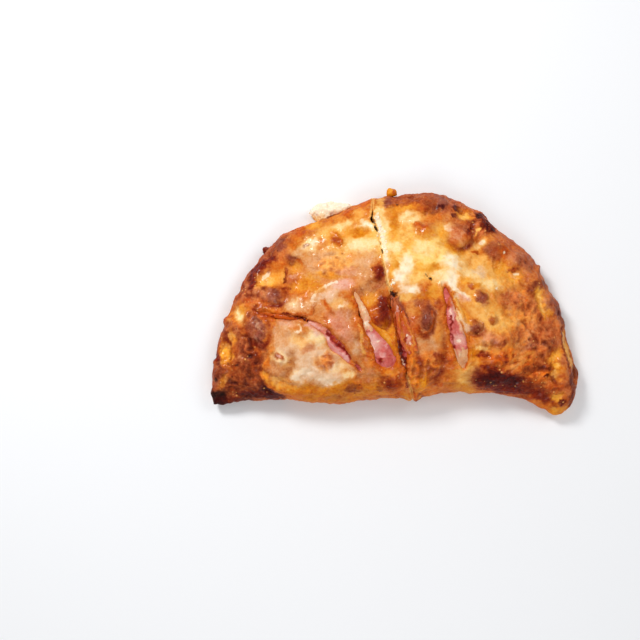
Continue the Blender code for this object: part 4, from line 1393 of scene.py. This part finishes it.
SLIT_MARKS = (
    # slit a
    # painted shadow of the crack's upper edge
    ("mahogany", [(-106, -9), (-98, -11.5), (-92, -12)], 1.6, 0.7),
    ("mahogany", [(-80, -12.5), (-68, -15)], 1.8, 0.8),
    ("char", -68, -15, 2, 1.2, 0, 0.8),
    ("char", -79, -12.5, 1.2, 0.9, 0, 0.8),
    ("ham_pale", -60, -19, 4, 1.6, -20, 0.8),
    ("ham_dark", -28, -51, 3, 3.4, -60, 0.95),
    # slit b
    ("oat", [(-26, -2), (-21, -12)], 3.4, 0.6),
    ("rose", [(-20, -14), (-17, -24)], 4, 0.5),
    ("milk", [(-24, -4), (-22, -9)], 1.2, 0.4),
    # painted highlight
    ("milk", -18.5, -18.5, 2.4, 3.2, 10, 0.9),
    ("rust", [(-31, 4), (-27, -8), (-23, -20)], 1.6, 0.7),
    # slit c
    # painted shade in the hole and line of the cut
    ("soot", 0, 5, 2.4, 1.8, 0, 0.95),
    ("umber", [(-1, 2), (-1, -5)], 1.6, 0.8),
    ("ham_pale", [(3, -5), (1, -12)], 2.6, 0.9),
    ("rust", [(-1, -6), (1, -18), (3, -29)], 3.4, 0.7),
    # painted shade down the knife cut
    ("char", [(5, -34), (8, -46)], 2.4, 0.5),
    ("rust", [(10, -57), (12, -66), (15, -74)], 3, 0.6),
    ("milk", [(4.5, -41), (7, -48), (9, -54)], 1.3, 0.7),
    # slit d
    ("rose", 41, 5, 2, 5, -10, 0.8),
    ("fawn", [(51, -38), (54, -50)], 6, 0.5),
    ("oat", 51, -40, 2.4, 3, 10, 0.6),
)


# Name, ground tone, rise, and the route with its widths
BEDS = (
    ("slit_a_bed", "rust", -0.4, ((-107, -10, 1.4), (-92, -12, 1.6), (-76, -13.5, 2.0), (-66, -16, 2.6))),
    ("slit_b_bed", "beige", -0.5, ((-30, 6, 1.4), (-23, -9, 5), (-18.5, -20, 7.5), (-17, -24, 8.5))),
    ("slit_c_bed", "clay", -1.0, ((-1.5, 6, 2), (1, -6, 5), (3, -12, 5))),
    ("slit_d_bed", "beige", -0.5, ((50.5, -36, 10.5), (52, -45, 8), (53.5, -54, 4))),
    # the cut's bed: a dark sheet in the knife cut, partly juices and partly painted shade deep in the cut
    ("cut_bed_shade", "mahogany", -0.4,
     ((-1.2, -6, 1.6), (-0.2, -13, 1.8), (1, -20, 2), (2.8, -30, 2.8), (5.4, -38, 3.8), (7.8, -46, 3.8),
      (10, -56, 2.5), (12, -65, 2), (15, -74, 2))),
)


def slit_bed(name, ground, rise, stations):
    """Melted cheese and juices lying in a slit or in the cut, under and beyond the ham; the dark bed in the
    cut is partly painted shade.
    """
    piece = strip(name, LUMP_GRAIN, stations, rise, 3, 0.9, -0.5)
    points = points_of(piece)
    swell(piece, 0.5 * cloud(points, 5 * MM, 2, 80) + 0.25 * cloud(points, 2 * MM, 2, 81))
    colour = painted(points_of(piece), SLIT_MARKS, ground)
    finished_piece(piece, [], CHEESE_FINISH, colour, 0.2, 0.8)


LIPS = (
    ("slit_b_lip",
     ((-18, -16, 1.5), (-12.5, -21.5, 4), (-6.5, -26.5, 5.5), (-1.5, -32, 5), (1.2, -38, 3.5),
      (1.4, -43, 1.5))),
    ("slit_d_lip", ((44, 6, 1.5), (47.5, -2, 3.5), (51.5, -12, 4.5), (54.5, -22, 4), (57, -32, 1.5))),
)


def dough_lip(name, stations):
    """A soft edge of the baked top that hangs a little over its slit."""
    piece = strip(name, LUMP_GRAIN, stations, 2.0, 3.4, 0.8, -2.4)
    swell(piece, 0.4 * cloud(points_of(piece), 5 * MM, 2, 86))
    colour = baked_tint(painted(points_of(piece), GROUNDS + MARKS, "chestnut"))
    finished_piece(piece, [], CRUST_FINISH, colour, 0.3, 0.8)


CURL = ((4.5, -9, 1.0), (6, -15, 4.0), (8.5, -24, 7.5), (11, -31, 8.5), (13, -36, 6.5), (14.5, -39.5, 2.0))
CURL_MARKS = (
    ("chestnut", [(4.5, -12), (5.5, -22), (7.5, -31), (11.5, -38)], 2.2, 0.9),
    ("chestnut", [(6, -11), (11.5, -21), (15, -30), (15.5, -39)], 2.2, 0.9),
    ("ochre", [(12, -24), (15, -31), (15.2, -37)], 1.2, 0.7),
    ("ham_dark", 8.5, -30, 1.6, 2.2, 0, 0.7),
    ("rose", 11.5, -31, 2, 3.4, -20, 0.8),
    # painted highlights
    ("milk", 10, -28, 1.2, 0.8, 0, 0.8),
    ("milk", 13, -34, 0.9, 1.2, 0, 0.7),
    ("rust", [(5, -9), (6, -15)], 2, 0.7),
)


def ham_curl():
    """A crisped edge of ham that curls out over the dough beside the cut."""
    piece = strip("ham_curl", HAM_GRAIN, CURL, 0.3, 2.6, 0.0, 2.2)
    swell(piece, 0.3 * cloud(points_of(piece), 3 * MM, 2, 82))
    finished_piece(piece, [], HAM_FINISH, painted(points_of(piece), CURL_MARKS, "salmon"), 0.3, 0.9)


CRUMB_ROUTE = ((-15, 66), (-12.5, 57), (-10, 50), (-8.5, 43), (-7.5, 36), (-6, 28), (-4, 18), (-2.5, 9))
CRUMBS = 60


def cut_crumbs():
    """Torn crumbs of dough and cheese along the knife cut."""
    chance = np.random.default_rng(5)
    route = np.array(CRUMB_ROUTE, float)
    made = []
    for _ in range(CRUMBS):
        at = chance.uniform(0, len(route) - 1)
        x, y = (np.interp(at, range(len(route)), route[:, k]) for k in (0, 1))
        x += chance.normal(1.6, 1.4)
        size = chance.uniform(0.4, 1.1) * MM
        place = surface_of(x, y, crust_height(x + 4 * np.sign(chance.normal()), y) - 0.1 * MM)
        bpy.ops.mesh.primitive_ico_sphere_add(subdivisions=3, radius=1)
        crumb = bpy.context.active_object
        shape = points_of(crumb)
        shape *= 1 + 0.25 * cloud(shape + at, 0.7, 2, 83)[:, None]
        stretch = [chance.uniform(0.7, 1.3), chance.uniform(0.8, 2.0), chance.uniform(0.5, 0.9)]
        move_points(crumb, shape * (size * np.array(stretch)) + np.array(place))
        made.append(crumb)
    bpy.ops.object.select_all(action="DESELECT")
    for crumb in made:
        crumb.select_set(True)
    bpy.context.view_layer.objects.active = made[0]
    bpy.ops.object.join()
    piece = bpy.context.active_object
    piece.name = "cut_crumbs"
    points = points_of(piece)
    colour = laid_over(TONES["milk"], "honey", soft_step(cloud(points, 5 * MM, 2, 84), 0.0, 0.6))
    finished_piece(piece, [], CHEESE_FINISH, colour, 0.1, 0.5)


OOZE_MARKS = (
    ("oat", -46, 63, 20, 4, 20, 0.7),
    ("honey", -60, 60, 8, 5, 20, 0.8),
    ("gold", -66, 59, 4, 4, 20, 0.7),
)
BEAD_MARKS = (("gold", -3, 83, 2.4, 2.4, 0, 0.9), ("rust", 1, 82, 1.6, 2, 0, 0.8))
BURNT_MARKS = (("russet", -98, 42, 2, 1.4, 40, 0.7), ("mauve", -96, 40, 2, 2, 0, 0.6))

for side in ("left", "right"):
    crust_half(side)
    filling_half(side)
for name, turn in (("a", 0.8), ("b", 0.2), ("c", 0.2), ("d", 0.2)):
    ham_slice(name, turn)
for bed in BEDS:
    slit_bed(*bed)
for lip in LIPS:
    dough_lip(*lip)
ham_curl()
cut_crumbs()
cheese_lump("cheese_ooze", "milk", OOZE_MARKS, 1.8, CHEESE_FINISH)
cheese_lump("cheese_bead_back", "amber", BEAD_MARKS, 0.8, CHEESE_FINISH)
cheese_lump("cheese_bead_left", "mahogany", BURNT_MARKS, 0.5, CRUST_FINISH, (1.8, -1.2))


# ---------------------------------------------------------------- table, light and view


TABLE_COLOUR = (0.90, 0.91, 0.93, 1)
ROOM_LIGHT = 0.38
# Name, place in metres, width in metres, power in watts
LAMPS = (
    ("key_lamp", (-0.5, 0.55, 0.8), 0.26, 7.2),
    ("side_lamp", (0.6, 0.35, 0.85), 0.4, 1.8),
    ("front_lamp", (0.0, -0.8, 0.9), 0.6, 3.4),
)


def plain_floor():
    """A plain pale table top under the food."""
    bpy.ops.mesh.primitive_plane_add(size=6.0, location=(0, 0, 0))
    floor = bpy.context.active_object
    floor.name = "table_top"
    material = bpy.data.materials.new("pale_table")
    material.use_nodes = True
    shader = material.node_tree.nodes["Principled BSDF"]
    shader.inputs["Base Color"].default_value = TABLE_COLOUR
    shader.inputs["Roughness"].default_value = 0.7
    floor.data.materials.append(material)


def soft_light(name, place, size, power):
    """A square studio lamp aimed at the food."""
    lamp = bpy.data.lights.new(name, "AREA")
    lamp.shape = "SQUARE"
    lamp.size = size
    lamp.energy = power
    obj = bpy.data.objects.new(name, lamp)
    bpy.context.scene.collection.objects.link(obj)
    obj.location = place
    obj.rotation_euler = (Vector((0, 0, 0.02)) - Vector(place)).to_track_quat("-Z", "Y").to_euler()


def studio():
    """An even white room with three soft lamps."""
    world = bpy.data.worlds.new("studio")
    bpy.context.scene.world = world
    world.use_nodes = True
    background = world.node_tree.nodes["Background"]
    background.inputs["Color"].default_value = (1.0, 1.0, 1.0, 1)
    background.inputs["Strength"].default_value = ROOM_LIGHT
    for lamp in LAMPS:
        soft_light(*lamp)
    bpy.context.scene.view_settings.view_transform = "Standard"


def camera():
    """The view from the eye over the table, as wide as the field."""
    lens = bpy.data.cameras.new("view")
    lens.sensor_width = 36.0
    away = Vector(AIM) - Vector(EYE)
    lens.angle = 2 * math.atan(FIELD_WIDTH / 2 / away.length)
    obj = bpy.data.objects.new("view", lens)
    bpy.context.scene.collection.objects.link(obj)
    obj.location = EYE
    obj.rotation_euler = away.to_track_quat("-Z", "Y").to_euler()
    bpy.context.scene.camera = obj


plain_floor()
studio()
camera()
